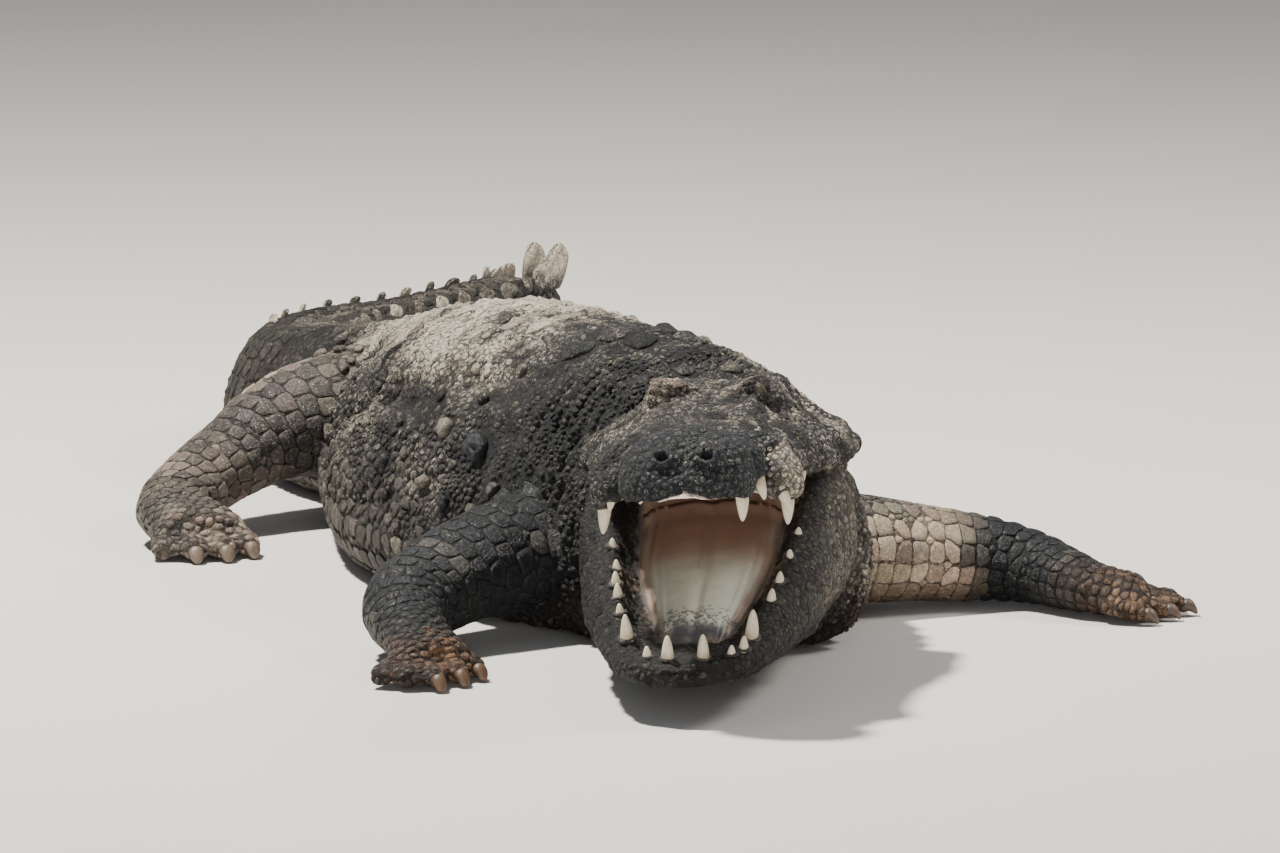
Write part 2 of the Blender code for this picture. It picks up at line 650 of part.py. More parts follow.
def claw(name, start, axis, radius):
    """A blunt curved claw that begins at the flat end of its toe."""
    rings = []
    for share, size in CLAW_PATH:
        centre = start + axis * (GAP + CLAW_LENGTH * share)
        centre.z = CLAW_HEIGHT + CLAW_ARCH * math.sin(math.pi * share) - CLAW_DROP * share
        ring = tube_ring(centre, axis, radius * size, radius * 0.95 * size, CLAW_POINTS)
        rings.append([Vector((point.x, point.y, max(point.z, 0.0))) for point in ring])
    node(name, loft(rings), "claw")


def grown_body():
    """The neck, trunk and first length of tail grown by the gap, to trim the legs against."""
    lengths = (
        (0.0, NECK_END, NECK_STEPS), (NECK_END, TRUNK_END, TRUNK_STEPS),
        (TRUNK_END, TAIL_CUTS[1], TAIL_STEPS),
    )
    places = np.unique(np.concatenate([
        np.linspace(start, end, steps + 1) for start, end, steps in lengths
    ]))
    return node("body_cutter", loft([body_ring(at, grow=GAP * 2) for at in places]), "hide")


def main():
    for old in list(bpy.data.objects):
        bpy.data.objects.remove(old)
    empty = bpy.data.objects.new("crocodile", None)
    bpy.context.scene.collection.objects.link(empty)
    skull()
    mandible()
    tongue()
    for side, name in ((1, "eye_left"), (-1, "eye_right")):
        eyeball(side, EYE_RADIUS, name)
    neck()
    trunk()
    tail()
    for name in LEGS:
        leg(name)


main()
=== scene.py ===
"""A life-size mugger crocodile lying with its mouth open.

One skin carries its scales and plates; the mouth, teeth, eyes, claws and crest are pieces of
their own. Metres, +Z up, the head towards -Y and the animal's left side at +X. Run as a script, this
file makes every piece in turn, then the floor, the lights and the camera.
"""

import math

import bmesh
import bpy
import numpy as np
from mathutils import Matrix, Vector
from mathutils.bvhtree import BVHTree
from mathutils.kdtree import KDTree


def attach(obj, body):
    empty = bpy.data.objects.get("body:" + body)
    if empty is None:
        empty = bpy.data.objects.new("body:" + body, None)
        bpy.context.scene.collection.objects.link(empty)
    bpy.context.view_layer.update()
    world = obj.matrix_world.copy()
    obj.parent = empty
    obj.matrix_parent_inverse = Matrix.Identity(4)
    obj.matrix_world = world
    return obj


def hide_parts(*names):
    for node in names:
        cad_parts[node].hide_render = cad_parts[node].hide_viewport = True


bl_info = {
    "name": "Mugger crocodile model",
    "version": (1, 0, 0),
    "blender": (4, 5, 0),
    "location": "3D View > Sidebar > Crocodile",
    "description": "Builds the skin, scales, mouth, teeth, eyes and claws of a life-size crocodile",
    "category": "Object",
}

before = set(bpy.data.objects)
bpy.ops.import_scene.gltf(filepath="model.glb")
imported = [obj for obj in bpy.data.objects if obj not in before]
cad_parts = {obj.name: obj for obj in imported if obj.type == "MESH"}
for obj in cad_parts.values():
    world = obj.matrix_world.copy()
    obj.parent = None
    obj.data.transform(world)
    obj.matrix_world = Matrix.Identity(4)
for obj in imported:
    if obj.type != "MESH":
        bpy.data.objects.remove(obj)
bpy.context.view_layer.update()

# Head, measured from the tip of the snout backwards.
HEAD_LENGTH = 0.510
HEAD_TURN = math.radians(24.4)
HEAD_ROLL = math.tan(math.radians(3.0))
HEAD_BACK = (0.006, -0.679)
HEAD_FORWARD = -np.array([math.sin(HEAD_TURN), math.cos(HEAD_TURN), 0.0])
LIP_Z = 0.270
LIP_SLOPE = -0.070
MOUTH_CORNER = 0.440
JAW_RIM_Z = 0.074
JAW_SLOPE = 0.372
TONGUE_LIFT = 0.008
THROAT_LIFT = 0.012
EYE_RADIUS = 0.0175
LID_REACH = 0.050
EYE_AT = (0.054, 0.346, 0.099)
NOSTRIL_AT = (0.0265, 0.012, 0.055)

# How far back, then half-width and height of the upper jaw and skull.
SKULL = (
    (0.000, 0.036, 0.030), (0.012, 0.062, 0.056), (0.032, 0.078, 0.074), (0.055, 0.081, 0.080),
    (0.088, 0.074, 0.068), (0.115, 0.102, 0.068), (0.150, 0.124, 0.072), (0.200, 0.122, 0.075),
    (0.260, 0.125, 0.082), (0.320, 0.139, 0.100), (0.370, 0.154, 0.113), (0.440, 0.170, 0.115),
    (0.510, 0.174, 0.110),
)
# Swellings of the skull: how far aside and back, radius, and height or depth. They are the nose's
# disc, the brows, the dip between them, the boss behind the nose and the back of the skull.
SKULL_SWELLINGS = (
    (0.000, 0.046, 0.034, 0.010), (0.050, 0.352, 0.026, 0.016), (0.000, 0.350, 0.026, -0.008),
    (0.088, 0.152, 0.026, 0.010), (0.078, 0.490, 0.024, 0.008),
)
# How far back, then half-width, underside height and depth of the trough of the lower jaw.
MANDIBLE = (
    (0.000, 0.034, 0.050, 0.001), (0.012, 0.062, 0.044, 0.002), (0.030, 0.080, 0.041, 0.005),
    (0.060, 0.095, 0.038, 0.015), (0.120, 0.115, 0.034, 0.034), (0.200, 0.136, 0.030, 0.048),
    (0.300, 0.155, 0.024, 0.054), (0.400, 0.168, 0.018, 0.046), (0.510, 0.174, 0.012, 0.040),
)
# Along the spine: x, y, turn of the section in degrees, half-width, height, and share of the
# tail's outline.
SPINE = (
    (0.006, -0.679, 24.4, 0.183, 0.338, 0.55), (0.024, -0.580, 12.0, 0.206, 0.344, 0.35),
    (0.022, -0.475, -2.0, 0.228, 0.358, 0.10), (-0.012, -0.270, -8.0, 0.256, 0.366, 0.00),
    (-0.034, -0.040, -1.0, 0.256, 0.358, 0.00), (-0.020, 0.220, 6.0, 0.214, 0.315, 0.10),
    (0.002, 0.470, 3.0, 0.170, 0.268, 0.45), (-0.034, 0.670, -8.0, 0.148, 0.234, 0.75),
    (-0.054, 0.860, 6.0, 0.130, 0.204, 0.90), (0.030, 1.060, 36.0, 0.112, 0.190, 1.00),
    (0.196, 1.190, 48.0, 0.096, 0.184, 1.00), (0.372, 1.330, 40.0, 0.081, 0.184, 1.00),
    (0.476, 1.510, 26.0, 0.062, 0.156, 1.00), (0.560, 1.740, 18.0, 0.042, 0.114, 1.00),
    (0.640, 1.970, 18.0, 0.024, 0.072, 1.00), (0.710, 2.180, 18.0, 0.008, 0.028, 1.00),
)
NECK_END = 2.0

# Half outlines, as shares of half-width and height, from the middle of the underside up.
TRUNK_OUTLINE = (
    (0.00, 0.00), (0.42, 0.00), (0.74, 0.00), (0.93, 0.06), (1.00, 0.20),
    (0.93, 0.42), (0.76, 0.66), (0.50, 0.87), (0.24, 0.97), (0.00, 1.00),
)
TAIL_OUTLINE = (
    (0.00, 0.00), (0.36, 0.00), (0.68, 0.03), (0.92, 0.16), (1.00, 0.36),
    (0.94, 0.58), (0.80, 0.78), (0.60, 0.93), (0.30, 0.97), (0.00, 0.96),
)
SNOUT_OUTLINE = (
    (0.00, 0.14), (0.40, 0.12), (0.74, 0.02), (0.90, -0.04), (0.99, 0.06),
    (1.00, 0.28), (0.92, 0.60), (0.74, 0.86), (0.42, 0.98), (0.00, 1.00),
)
CRANIUM_OUTLINE = (
    (0.00, 0.00), (0.40, 0.00), (0.74, 0.00), (0.90, 0.00), (0.98, 0.06),
    (1.00, 0.22), (0.87, 0.44), (0.62, 0.66), (0.40, 0.95), (0.00, 0.97),
)

# Each leg: root, joint, end and ball, then the heading of the toes in degrees.
LEGS = {
    "fore_right": (
        (-0.120, -0.455, 0.115), (-0.378, -0.570, 0.064),
        (-0.398, -0.700, 0.044), (-0.400, -0.765, 0.030), 4.0,
    ),
    "fore_left": (
        (0.120, -0.480, 0.085), (0.462, -0.468, 0.056),
        (0.528, -0.604, 0.038), (0.576, -0.638, 0.029), 66.0,
    ),
    "hind_right": (
        (-0.060, 0.450, 0.150), (-0.265, 0.410, 0.118),
        (-0.418, 0.300, 0.050), (-0.414, 0.195, 0.034), -4.0,
    ),
    "hind_left": (
        (0.060, 0.450, 0.150), (0.270, 0.430, 0.118),
        (0.395, 0.335, 0.050), (0.400, 0.225, 0.034), 10.0,
    ),
}
FORE_SIZES = ((0.084, 0.080), (0.068, 0.062), (0.055, 0.050), (0.045, 0.036), (0.054, 0.030))
HIND_SIZES = ((0.110, 0.096), (0.080, 0.076), (0.062, 0.058), (0.054, 0.045), (0.066, 0.034))
# Toes from the innermost outwards: how far outwards of the ball's middle, turn away from the
# foot's own heading, length, and how far the toe's root lies behind the ball.
FORE_TOES = (
    (-0.045, -10.0, 0.054, 0.030), (-0.016, -4.0, 0.062, 0.012), (0.014, 3.0, 0.070, 0.000),
    (0.036, 14.0, 0.062, 0.000), (0.046, 42.0, 0.052, 0.008),
)
HIND_TOES = (
    (-0.050, -8.0, 0.062, 0.012), (-0.017, -3.0, 0.068, 0.000), (0.017, 3.0, 0.068, 0.000),
    (0.050, 10.0, 0.062, 0.008),
)
FORE_TOE_THICK, HIND_TOE_THICK = 0.0175, 0.0205
# Along a toe: share of its length, thickness as a share of the toe's, and height of its middle.
TOE_PATH = (
    (-0.20, 0.80, 0.022), (0.10, 0.98, 0.022), (0.30, 1.04, 0.021), (0.46, 0.96, 0.019),
    (0.62, 1.06, 0.0185), (0.80, 0.98, 0.017), (0.93, 0.92, 0.015), (1.00, 0.76, 0.013),
)
TOE_RINGS = 29
CLAWED_TOES = 3
CLAW_LENGTH = 0.017

# Crest of the tail: pitch of its scutes, their height at places counted in stations of the spine,
# where its two rows join, and the height from which a scute counts as tall.
WHORL = 0.058
CREST_HEIGHT = (
    (8.6, 0.008), (10.0, 0.012), (11.2, 0.016), (11.8, 0.050), (12.8, 0.056), (13.8, 0.040),
    (14.7, 0.014),
)
CREST_JOINS = 12.4
TALL_CREST = 0.030

# Teeth: side (+1 is the animal's left), how far back, length, lean outwards and, in the lower
# jaw, how far out as a share of the half-width.
UPPER_TEETH = (
    (1, 0.062, 0.030, 0.05), (-1, 0.080, 0.013, 0.10), (-1, 0.150, 0.036, 0.05), (1, 0.150, 0.032, 0.05),
    (-1, 0.174, 0.020, 0.10), (1, 0.100, 0.014, 0.50), (1, 0.120, 0.022, 0.70), (-1, 0.125, 0.012, 0.20),
    (1, 0.180, 0.014, 0.10), (-1, 0.230, 0.013, 0.10), (1, 0.225, 0.013, 0.10), (-1, 0.285, 0.013, 0.10),
    (1, 0.280, 0.014, 0.10),
)
LOWER_TEETH = (
    (-1, 0.025, 0.025, 0.00, 0.29), (1, 0.027, 0.024, 0.00, 0.26), (-1, 0.070, 0.028, 0.10, 0.75),
    (1, 0.067, 0.030, 0.10, 0.76), (-1, 0.030, 0.010, 0.10, 0.58), (1, 0.026, 0.010, 0.10, 0.70),
    (1, 0.040, 0.013, 0.10, 0.78), (-1, 0.123, 0.012, 0.20, 0.75), (1, 0.139, 0.015, 0.20, 0.76),
    (-1, 0.163, 0.015, 0.10, 0.74), (1, 0.184, 0.011, 0.10, 0.75), (-1, 0.192, 0.014, 0.10, 0.74),
    (-1, 0.222, 0.012, 0.10, 0.72), (1, 0.240, 0.007, 0.10, 0.74), (-1, 0.280, 0.007, 0.10, 0.74),
    (1, 0.290, 0.007, 0.10, 0.74),
)
# Tongue: how far back, and its half-width as a share of the jaw's.
TONGUE = ((0.066, 0.14), (0.100, 0.24), (0.160, 0.30), (0.230, 0.37), (0.310, 0.43), (0.404, 0.42))

# Forms that the skin is joined from.
BODY, HEAD, JAW = 0, 1, 2
LEG_NAMES = tuple(LEGS)
FIRST_LIMB = 3
LEG_FORM = {name: FIRST_LIMB + k for k, name in enumerate(LEG_NAMES)}
TOE_FORM = {name: FIRST_LIMB + len(LEGS) + k for k, name in enumerate(LEG_NAMES)}

# How finely the forms are drawn, and how far back the head's two forms reach into the neck.
BODY_RINGS, HEAD_RINGS, LIMB_SIDES = 330, 98, 32
HEAD_OVERLAP = 0.552

made = {}


# ---- plain mathematics ---------------------------------------------------------------------

def smooth_table(rows, at):
    """Reads a table of stations smoothly at many places: the first column is the place."""
    rows = np.asarray(rows, float)
    place, values = rows[:, 0], rows[:, 1:]
    at = np.atleast_1d(np.asarray(at, float))
    slope = np.diff(values, axis=0) / np.diff(place)[:, None]
    tangent = np.vstack([slope[:1], (slope[1:] + slope[:-1]) / 2, slope[-1:]])
    i = np.clip(np.searchsorted(place, at, side="right") - 1, 0, len(place) - 2)
    width = (place[i + 1] - place[i])[:, None]
    f = (at - place[i])[:, None] / width
    start = (1 + 2 * f) * (1 - f) ** 2 * values[i] + f * (1 - f) ** 2 * width * tangent[i]
    end = f * f * (3 - 2 * f) * values[i + 1] + f * f * (f - 1) * width * tangent[i + 1]
    return start + end


def numbered(rows):
    """A table with each row's number in front of it."""
    return np.column_stack([np.arange(len(rows)), rows])


def running(points):
    """The distance run along a line of points, up to each of them."""
    return np.concatenate([[0], np.cumsum(np.linalg.norm(np.diff(points, axis=0), axis=1))])


def circle(count):
    """Angles evenly round a circle."""
    return np.linspace(0, 2 * math.pi, count, endpoint=False)


def evenly(points, count):
    """A smooth curve through the points, read at count + 1 places of even spacing."""
    fine = smooth_table(numbered(points), np.linspace(0, len(points) - 1, 12 * len(points)))
    run = running(fine)
    wanted = np.linspace(0, run[-1], count + 1)
    return np.column_stack([np.interp(wanted, run, column) for column in fine.T])


def whole_ring(half):
    """A half outline and its mirror image as one ring that runs anticlockwise."""
    return np.vstack([half, half[-2:0:-1] * np.array([-1.0, 1.0])])


def ramp(value, low, high):
    """0 below low, 1 above high, and smooth between them; low may be the larger."""
    f = np.clip((np.asarray(value, float) - low) / (high - low), 0.0, 1.0)
    return f * f * (3 - 2 * f)


def hill(offset, width):
    """1 where the offset is 0, falling away over the width."""
    return np.exp(-(offset / width) ** 2)


def round_hill(across, along, radius):
    """The same in two directions at once."""
    return np.exp(-(across**2 + along**2) / radius**2)


def away(points, place):
    """How far each point lies from a place."""
    return np.linalg.norm(points - np.array(place), axis=1)


def unit(vectors):
    return vectors / np.maximum(np.linalg.norm(vectors, axis=-1, keepdims=True), 1e-12)


def value_noise(points, pitch, seed):
    """Smooth noise from 0 to 1 whose lumps are about one pitch across."""
    q = np.asarray(points, float) / pitch + seed * 17.31
    cell = np.floor(q).astype(np.int64)
    f = q - cell
    f = f * f * (3 - 2 * f)
    total = np.zeros(len(q))
    for corner in range(8):
        step = np.array([(corner >> 2) & 1, (corner >> 1) & 1, corner & 1])
        c = cell + step
        h = (c[:, 0] * 73856093) ^ (c[:, 1] * 19349663) ^ (c[:, 2] * 83492791) ^ (seed * 40503)
        h = (h ^ (h >> 13)) * 1274126177
        h = h ^ (h >> 16)
        total += np.prod(np.where(step, f, 1 - f), axis=1) * ((h & 0xFFFF) / 65535.0)
    return total


def fractal_noise(points, pitch, seed, octaves=3):
    """Coarse noise with finer and weaker noise over it."""
    total, weight = 0.0, 0.0
    for k in range(octaves):
        total = total + value_noise(points, pitch / 2**k, seed + k) * 0.5**k
        weight += 0.5**k
    return total / weight


def ridged(points, pitch, seed, squeeze=(1.0, 1.0, 1.0)):
    """Noise from 0 to 1 that rises to thin ridges, drawn out where the squeeze is below 1."""
    return 1 - np.abs(2 * value_noise(points * np.array(squeeze), pitch, seed) - 1)


# ---- the animal's forms --------------------------------------------------------------------

def body_rings(places, half_count):
    rings = []
    for at, row in zip(places, smooth_table(numbered(SPINE), places)):
        x, y, turn, half_width, height, share = row
        turn = math.radians(turn)
        outline = (1 - share) * np.array(TRUNK_OUTLINE) + share * np.array(TAIL_OUTLINE)
        ring = whole_ring(evenly(outline, half_count) * np.array([half_width, height]))
        lean = HEAD_ROLL * max(0.0, 1.0 - at / NECK_END)
        lift = THROAT_LIFT * max(0.0, 1.0 - at) ** 2
        up = ring[:, 1] + lean * ring[:, 0] * np.minimum(1.0, ring[:, 1] / 0.1)
        up = np.maximum(np.maximum(up, lift * (1 - ring[:, 1] / height) + ring[:, 1]), 0.0)
        rings.append(np.column_stack([
            x + math.cos(turn) * ring[:, 0], y - math.sin(turn) * ring[:, 0], up,
        ]))
    return np.array(rings)


def spine_at(at):
    """Centre, turn, half-width and height at a place counted in stations."""
    x, y, turn, half_width, height, _ = smooth_table(numbered(SPINE), at)[0]
    return np.array([x, y, 0.0]), math.radians(turn), half_width, height


def head_place(x, back, z):
    """World places of points in the head: sideways, back from the snout's tip, and up."""
    x, back, z = np.broadcast_arrays(*(np.asarray(v, float) for v in (x, back, z)))
    run = back - HEAD_LENGTH
    return np.stack([
        HEAD_BACK[0] + math.sin(HEAD_TURN) * run + math.cos(HEAD_TURN) * x,
        HEAD_BACK[1] + math.cos(HEAD_TURN) * run - math.sin(HEAD_TURN) * x,
        z + HEAD_ROLL * x,
    ], axis=-1)


def on_head(sign, place):
    """World place of something on the head that is given for the left side (sign +1)."""
    x, back, above = place
    return head_place(sign * x, back, lip_z(back) + above)


def heading_axis(angle):
    """Level direction of something that faces forwards, turned by an angle."""
    return np.array([math.sin(angle), -math.cos(angle), 0.0])


def lip_z(back):
    """Height of the upper lip's straight line."""
    return LIP_Z + LIP_SLOPE * back


def head_local(points):
    """Sideways, back from the snout's tip and height above the lip's line, of world places."""
    dx, dy = points[:, 0] - HEAD_BACK[0], points[:, 1] - HEAD_BACK[1]
    back = HEAD_LENGTH + math.sin(HEAD_TURN) * dx + math.cos(HEAD_TURN) * dy
    x = math.cos(HEAD_TURN) * dx - math.sin(HEAD_TURN) * dy
    return x, back, points[:, 2] - HEAD_ROLL * x - lip_z(back)


def festoon(back):
    """How far the edge of the upper lip waves above or below a straight line."""
    notch = 0.010 * hill(back - 0.090, 0.016)
    lobe = -0.012 * hill(back - 0.155, 0.034)
    rise = 0.008 * hill(back - 0.255, 0.045)
    return notch + lobe + rise


def skull_relief(x, back):
    """What stands above the smooth top, or below it, on both sides of the head."""
    return sum(
        height * round_hill(np.abs(x) - aside, back - at, radius)
        for aside, at, radius, height in SKULL_SWELLINGS
    )


def rounded_tip(rings, steps, reach, direction):
    """Closes a blunt first ring with shrinking rings ahead of it."""
    centre = rings[0].mean(axis=0)
    extra = []
    for k in range(steps, 0, -1):
        angle = math.pi / 2 * k / (steps + 0.4)
        extra.append(centre + (rings[0] - centre) * math.cos(angle) + direction * (reach * math.sin(angle)))
    return np.concatenate([extra, rings])


def head_rings(places, half_count):
    rings = []
    for back in places:
        half_width, height = smooth_table(SKULL, min(back, HEAD_LENGTH))[0]
        share = min(1.0, max(0.0, (back - 0.24) / 0.13))
        outline = (1 - share) * np.array(SNOUT_OUTLINE) + share * np.array(CRANIUM_OUTLINE)
        ring = whole_ring(evenly(outline, half_count)) * np.array([half_width, height])
        upper = np.clip(ring[:, 1] / (0.6 * height), 0, 1)
        lower = 1 - np.clip(ring[:, 1] / height, 0, 1)
        z = ring[:, 1] + skull_relief(ring[:, 0], back) * upper + festoon(back) * lower
        if back > MOUTH_CORNER - 0.06:
            z = np.maximum(z, 0.0)
        rings.append(head_place(ring[:, 0], back, lip_z(back) + z))
    return np.array(rings)


def jaw_rim(back):
    """Height of the lower jaw's edge."""
    return np.minimum(JAW_RIM_Z + JAW_SLOPE * np.asarray(back), lip_z(back))


def jaw_sizes(back):
    """Half-width, underside, rim height and depth of the trough at a place in the lower jaw."""
    half_width, under, trough = smooth_table(MANDIBLE, np.minimum(back, HEAD_LENGTH)).T
    closing = np.clip((MOUTH_CORNER - np.atleast_1d(back)) / 0.05, 0, 1)
    return half_width, under, jaw_rim(np.atleast_1d(back)), trough * closing


def jaw_rings(places, half_count):
    rings = []
    for back in places:
        half_width, under, rim, trough = (float(v[0]) for v in jaw_sizes(back))
        tall = max(rim - under, 0.004)
        inner = 1 - trough / tall
        outline = (
            (0.00, 0.00), (0.42, 0.02), (0.74, 0.12), (0.95, 0.36), (1.00, 0.60), (0.97, 0.80),
            (0.89, 0.94), (0.79, 1.00), (0.70, 1.00), (0.62, 0.45 + 0.55 * inner),
            (0.50, 0.12 + 0.88 * inner), (0.30, inner), (0.00, inner),
        )
        half = evenly(outline, half_count)
        half[-1, 0] = 0.0
        ring = whole_ring(half)
        rings.append(head_place(ring[:, 0] * half_width, back, under + ring[:, 1] * tall))
    return np.array(rings)


def tube_ring(centre, axis, half_across, half_up, count):
    across = np.cross(axis, (0.0, 0.0, 1.0))
    across = unit(across) if np.linalg.norm(across) > 1e-6 else np.array([1.0, 0.0, 0.0])
    up = unit(np.cross(across, axis))
    angle = circle(count)[:, None]
    return centre + across * np.cos(angle) * half_across + up * np.sin(angle) * half_up


def limb_rings(points, sizes, steps, count):
    """Round sections along a limb that bends smoothly at its joints."""
    rows = numbered([(*point, *size) for point, size in zip(points, sizes)])
    last = len(points) - 1
    places = np.linspace(0, last, steps + 1)
    after = smooth_table(rows, np.minimum(places + 0.05, last))
    before = smooth_table(rows, np.maximum(places - 0.05, 0))
    return np.array([
        tube_ring(value[:3], unit(run[:3]), value[3], value[4], count)
        for value, run in zip(smooth_table(rows, places), after - before)
    ])


def joint_points(leg):
    """Root, places just above and below the joint, end and ball of a leg."""
    root, joint, end, ball = (np.array(point) for point in leg[:4])
    return root, joint + (root - joint) * 0.22, joint + (end - joint) * 0.28, end, ball


def toe_lines(name):
    """Each toe's start, direction and length, and its thickness."""
    data = LEGS[name]
    heading = math.radians(data[4])
    side = -1.0 if name.endswith("right") else 1.0
    fore = name.startswith("fore")
    across = np.array([math.cos(heading), math.sin(heading), 0.0])
    lines = []
    for aside, spread, length, setback in FORE_TOES if fore else HIND_TOES:
        start = np.array(data[3]) + across * (side * aside) - heading_axis(heading) * setback
        axis = heading_axis(heading + side * math.radians(spread))
        lines.append((start, axis, length, FORE_TOE_THICK if fore else HIND_TOE_THICK))
    return lines


def toe_rings(line, count):
    """A toe with knuckles, from inside the palm to its rounded end."""
    start, axis, length, thick = line
    rings = []
    for share, size, z in smooth_table(numbered(TOE_PATH), np.linspace(0, len(TOE_PATH) - 1, TOE_RINGS)):
        centre = start + axis * (length * share)
        centre[2] = z
        rings.append(tube_ring(centre, axis, thick * size, thick * 0.9 * size, count))
    return np.array(rings)


def make_forms():
    """Every form as a grid of rings, with its code and the distance run along it."""
    forms = []

    def add_form(code, rings, offset=0.0):
        forms.append({"code": code, "rings": rings, "run": running(rings.mean(axis=1)) + offset})

    add_form(BODY, body_rings(np.linspace(0.0, len(SPINE) - 1.0, BODY_RINGS), 48))
    head_backs = np.linspace(0.0, HEAD_OVERLAP, HEAD_RINGS)
    for code, rings in ((HEAD, head_rings(head_backs, 44)), (JAW, jaw_rings(head_backs, 48))):
        add_form(code, rounded_tip(rings, 4, 0.007, HEAD_FORWARD))
    for name in LEG_NAMES:
        data = LEGS[name]
        sizes = FORE_SIZES if name.startswith("fore") else HIND_SIZES
        rings = limb_rings(joint_points(data), sizes, 72, LIMB_SIDES)
        ahead = heading_axis(math.radians(data[4]))
        wide, tall = sizes[-1]
        tip = tube_ring(np.array(data[3]) + ahead * 0.020, ahead, wide * 0.86, tall * 0.7, LIMB_SIDES)
        add_form(LEG_FORM[name], np.concatenate([rings, tip[None]]))
        for number, line in enumerate(toe_lines(name)):
            add_form(TOE_FORM[name], toe_rings(line, 20), offset=number + 1.0)
    for form in forms:
        form["rings"][..., 2] = np.maximum(form["rings"][..., 2], 0.0)
    return forms


def form_mesh(forms):
    """All forms as one list of points and faces, for joining."""
    points, faces, base = [], [], 0
    for form in forms:
        rings = form["rings"]
        n, m = rings.shape[:2]
        points.append(rings.reshape(-1, 3))
        index = base + np.arange(n * m).reshape(n, m)
        following = np.roll(index, -1, axis=1)
        quads = np.stack([index[:-1], following[:-1], following[1:], index[1:]], axis=-1)
        faces += quads.reshape(-1, 4).tolist()
        faces.append(index[0][::-1].tolist())
        faces.append(index[-1].tolist())
        base += n * m
    return np.concatenate(points), faces


class Lookup:
    """Finds the form under any place, how far along it and how far round it."""

    def __init__(self, forms):
        corners, code, run, turn, heading = [], [], [], [], []
        for form in forms:
            rings = form["rings"]
            n, m = rings.shape[:2]
            wrapped = np.concatenate([rings, rings[:, :1]], axis=1)
            around = np.broadcast_to(np.linspace(0, 1, m + 1), (n, m + 1))
            along = np.broadcast_to(form["run"][:, None], (n, m + 1))
            for ends in (((0, 0), (0, 1), (1, 1)), ((0, 0), (1, 1), (1, 0))):
                pick = [(slice(i, n - 1 + i), slice(j, m + j)) for i, j in ends]
                corners.append(np.stack([wrapped[p] for p in pick], axis=-2).reshape(-1, 3, 3))
                turn.append(np.stack([around[p] for p in pick], axis=-1).reshape(-1, 3))
                run.append(np.stack([along[p] for p in pick], axis=-1).reshape(-1, 3))
                ahead = wrapped[1:, :-1] - wrapped[:-1, :-1]
                heading.append(ahead.reshape(-1, 3))
                code.append(np.full((n - 1) * m, form["code"]))
        self.corners = np.concatenate(corners)
        self.turn, self.run = np.concatenate(turn), np.concatenate(run)
        self.heading, self.code = unit(np.concatenate(heading)), np.concatenate(code)
        flat = self.corners.reshape(-1, 3)
        triangles = np.arange(len(flat)).reshape(-1, 3)
        self.tree = BVHTree.FromPolygons(flat.tolist(), triangles.tolist())

    def read(self, points):
        found = [self.tree.find_nearest(point) for point in points.tolist()]
        index = np.array([item[2] for item in found])
        place = np.array([item[0] for item in found])
        a, b, c = (self.corners[index, k] for k in range(3))
        normal = np.cross(b - a, c - a)
        area = np.maximum((normal**2).sum(axis=1), 1e-18)
        wb = (np.cross(place - a, c - a) * normal).sum(axis=1) / area
        wc = (np.cross(b - a, place - a) * normal).sum(axis=1) / area
        weight = np.stack([1 - wb - wc, wb, wc], axis=1)
        return {
            "code": self.code[index],
            "run": (self.run[index] * weight).sum(axis=1),
            "turn": (self.turn[index] * weight).sum(axis=1),
            "heading": self.heading[index],
        }


# ---- meshes --------------------------------------------------------------------------------

def read_values(items, key, width=1, kind=np.int32):
    """One property of every item, as rows where the width is above 1."""
    values = np.empty(len(items) * width, kind)
    items.foreach_get(key, values)
    return values.reshape(-1, width) if width > 1 else values


def mesh_points(mesh):
    return read_values(mesh.vertices, "co", 3, np.float32).astype(float)


def mesh_normals(mesh):
    return read_values(mesh.vertex_normals, "vector", 3, np.float32).astype(float)


def mesh_triangles(mesh):
    mesh.calc_loop_triangles()
    return read_values(mesh.loop_triangles, "vertices", 3)


def set_points(mesh, points):
    mesh.vertices.foreach_set("co", np.ascontiguousarray(points, np.float32).ravel())
    mesh.update()


def neighbour_mean(pairs, values):
    """The mean of each point's neighbours along its edges."""
    count = np.bincount(pairs.ravel(), minlength=len(values)).astype(float)
    columns = []
    for column in values.T:
        total = np.bincount(pairs[:, 0], column[pairs[:, 1]], len(values))
        total += np.bincount(pairs[:, 1], column[pairs[:, 0]], len(values))
        columns.append(total / np.maximum(count, 1))
    return np.column_stack(columns)


def relax(points, pairs, weight, rounds):
    """Smooths the points, each by its own weight from 0 to 1, without much shrinking."""
    weight = weight[:, None]
    for _ in range(rounds):
        points = points + (neighbour_mean(pairs, points) - points) * (0.55 * weight)
        points = points - (neighbour_mean(pairs, points) - points) * (0.35 * weight)
    return points


def triangle_mesh(name, points, triangles):
    """A mesh from arrays, shaded smooth."""
    mesh = bpy.data.meshes.new(name)
    mesh.vertices.add(len(points))
    mesh.vertices.foreach_set("co", np.ascontiguousarray(points, np.float32).ravel())
    mesh.loops.add(len(triangles) * 3)
    mesh.loops.foreach_set("vertex_index", np.ascontiguousarray(triangles, np.int32).ravel())
    mesh.polygons.add(len(triangles))
    mesh.polygons.foreach_set("loop_start", np.arange(0, len(triangles) * 3, 3, dtype=np.int32))
    mesh.polygons.foreach_set("use_smooth", np.ones(len(triangles), bool))
    mesh.update(calc_edges=True)
    mesh.validate()
    return mesh


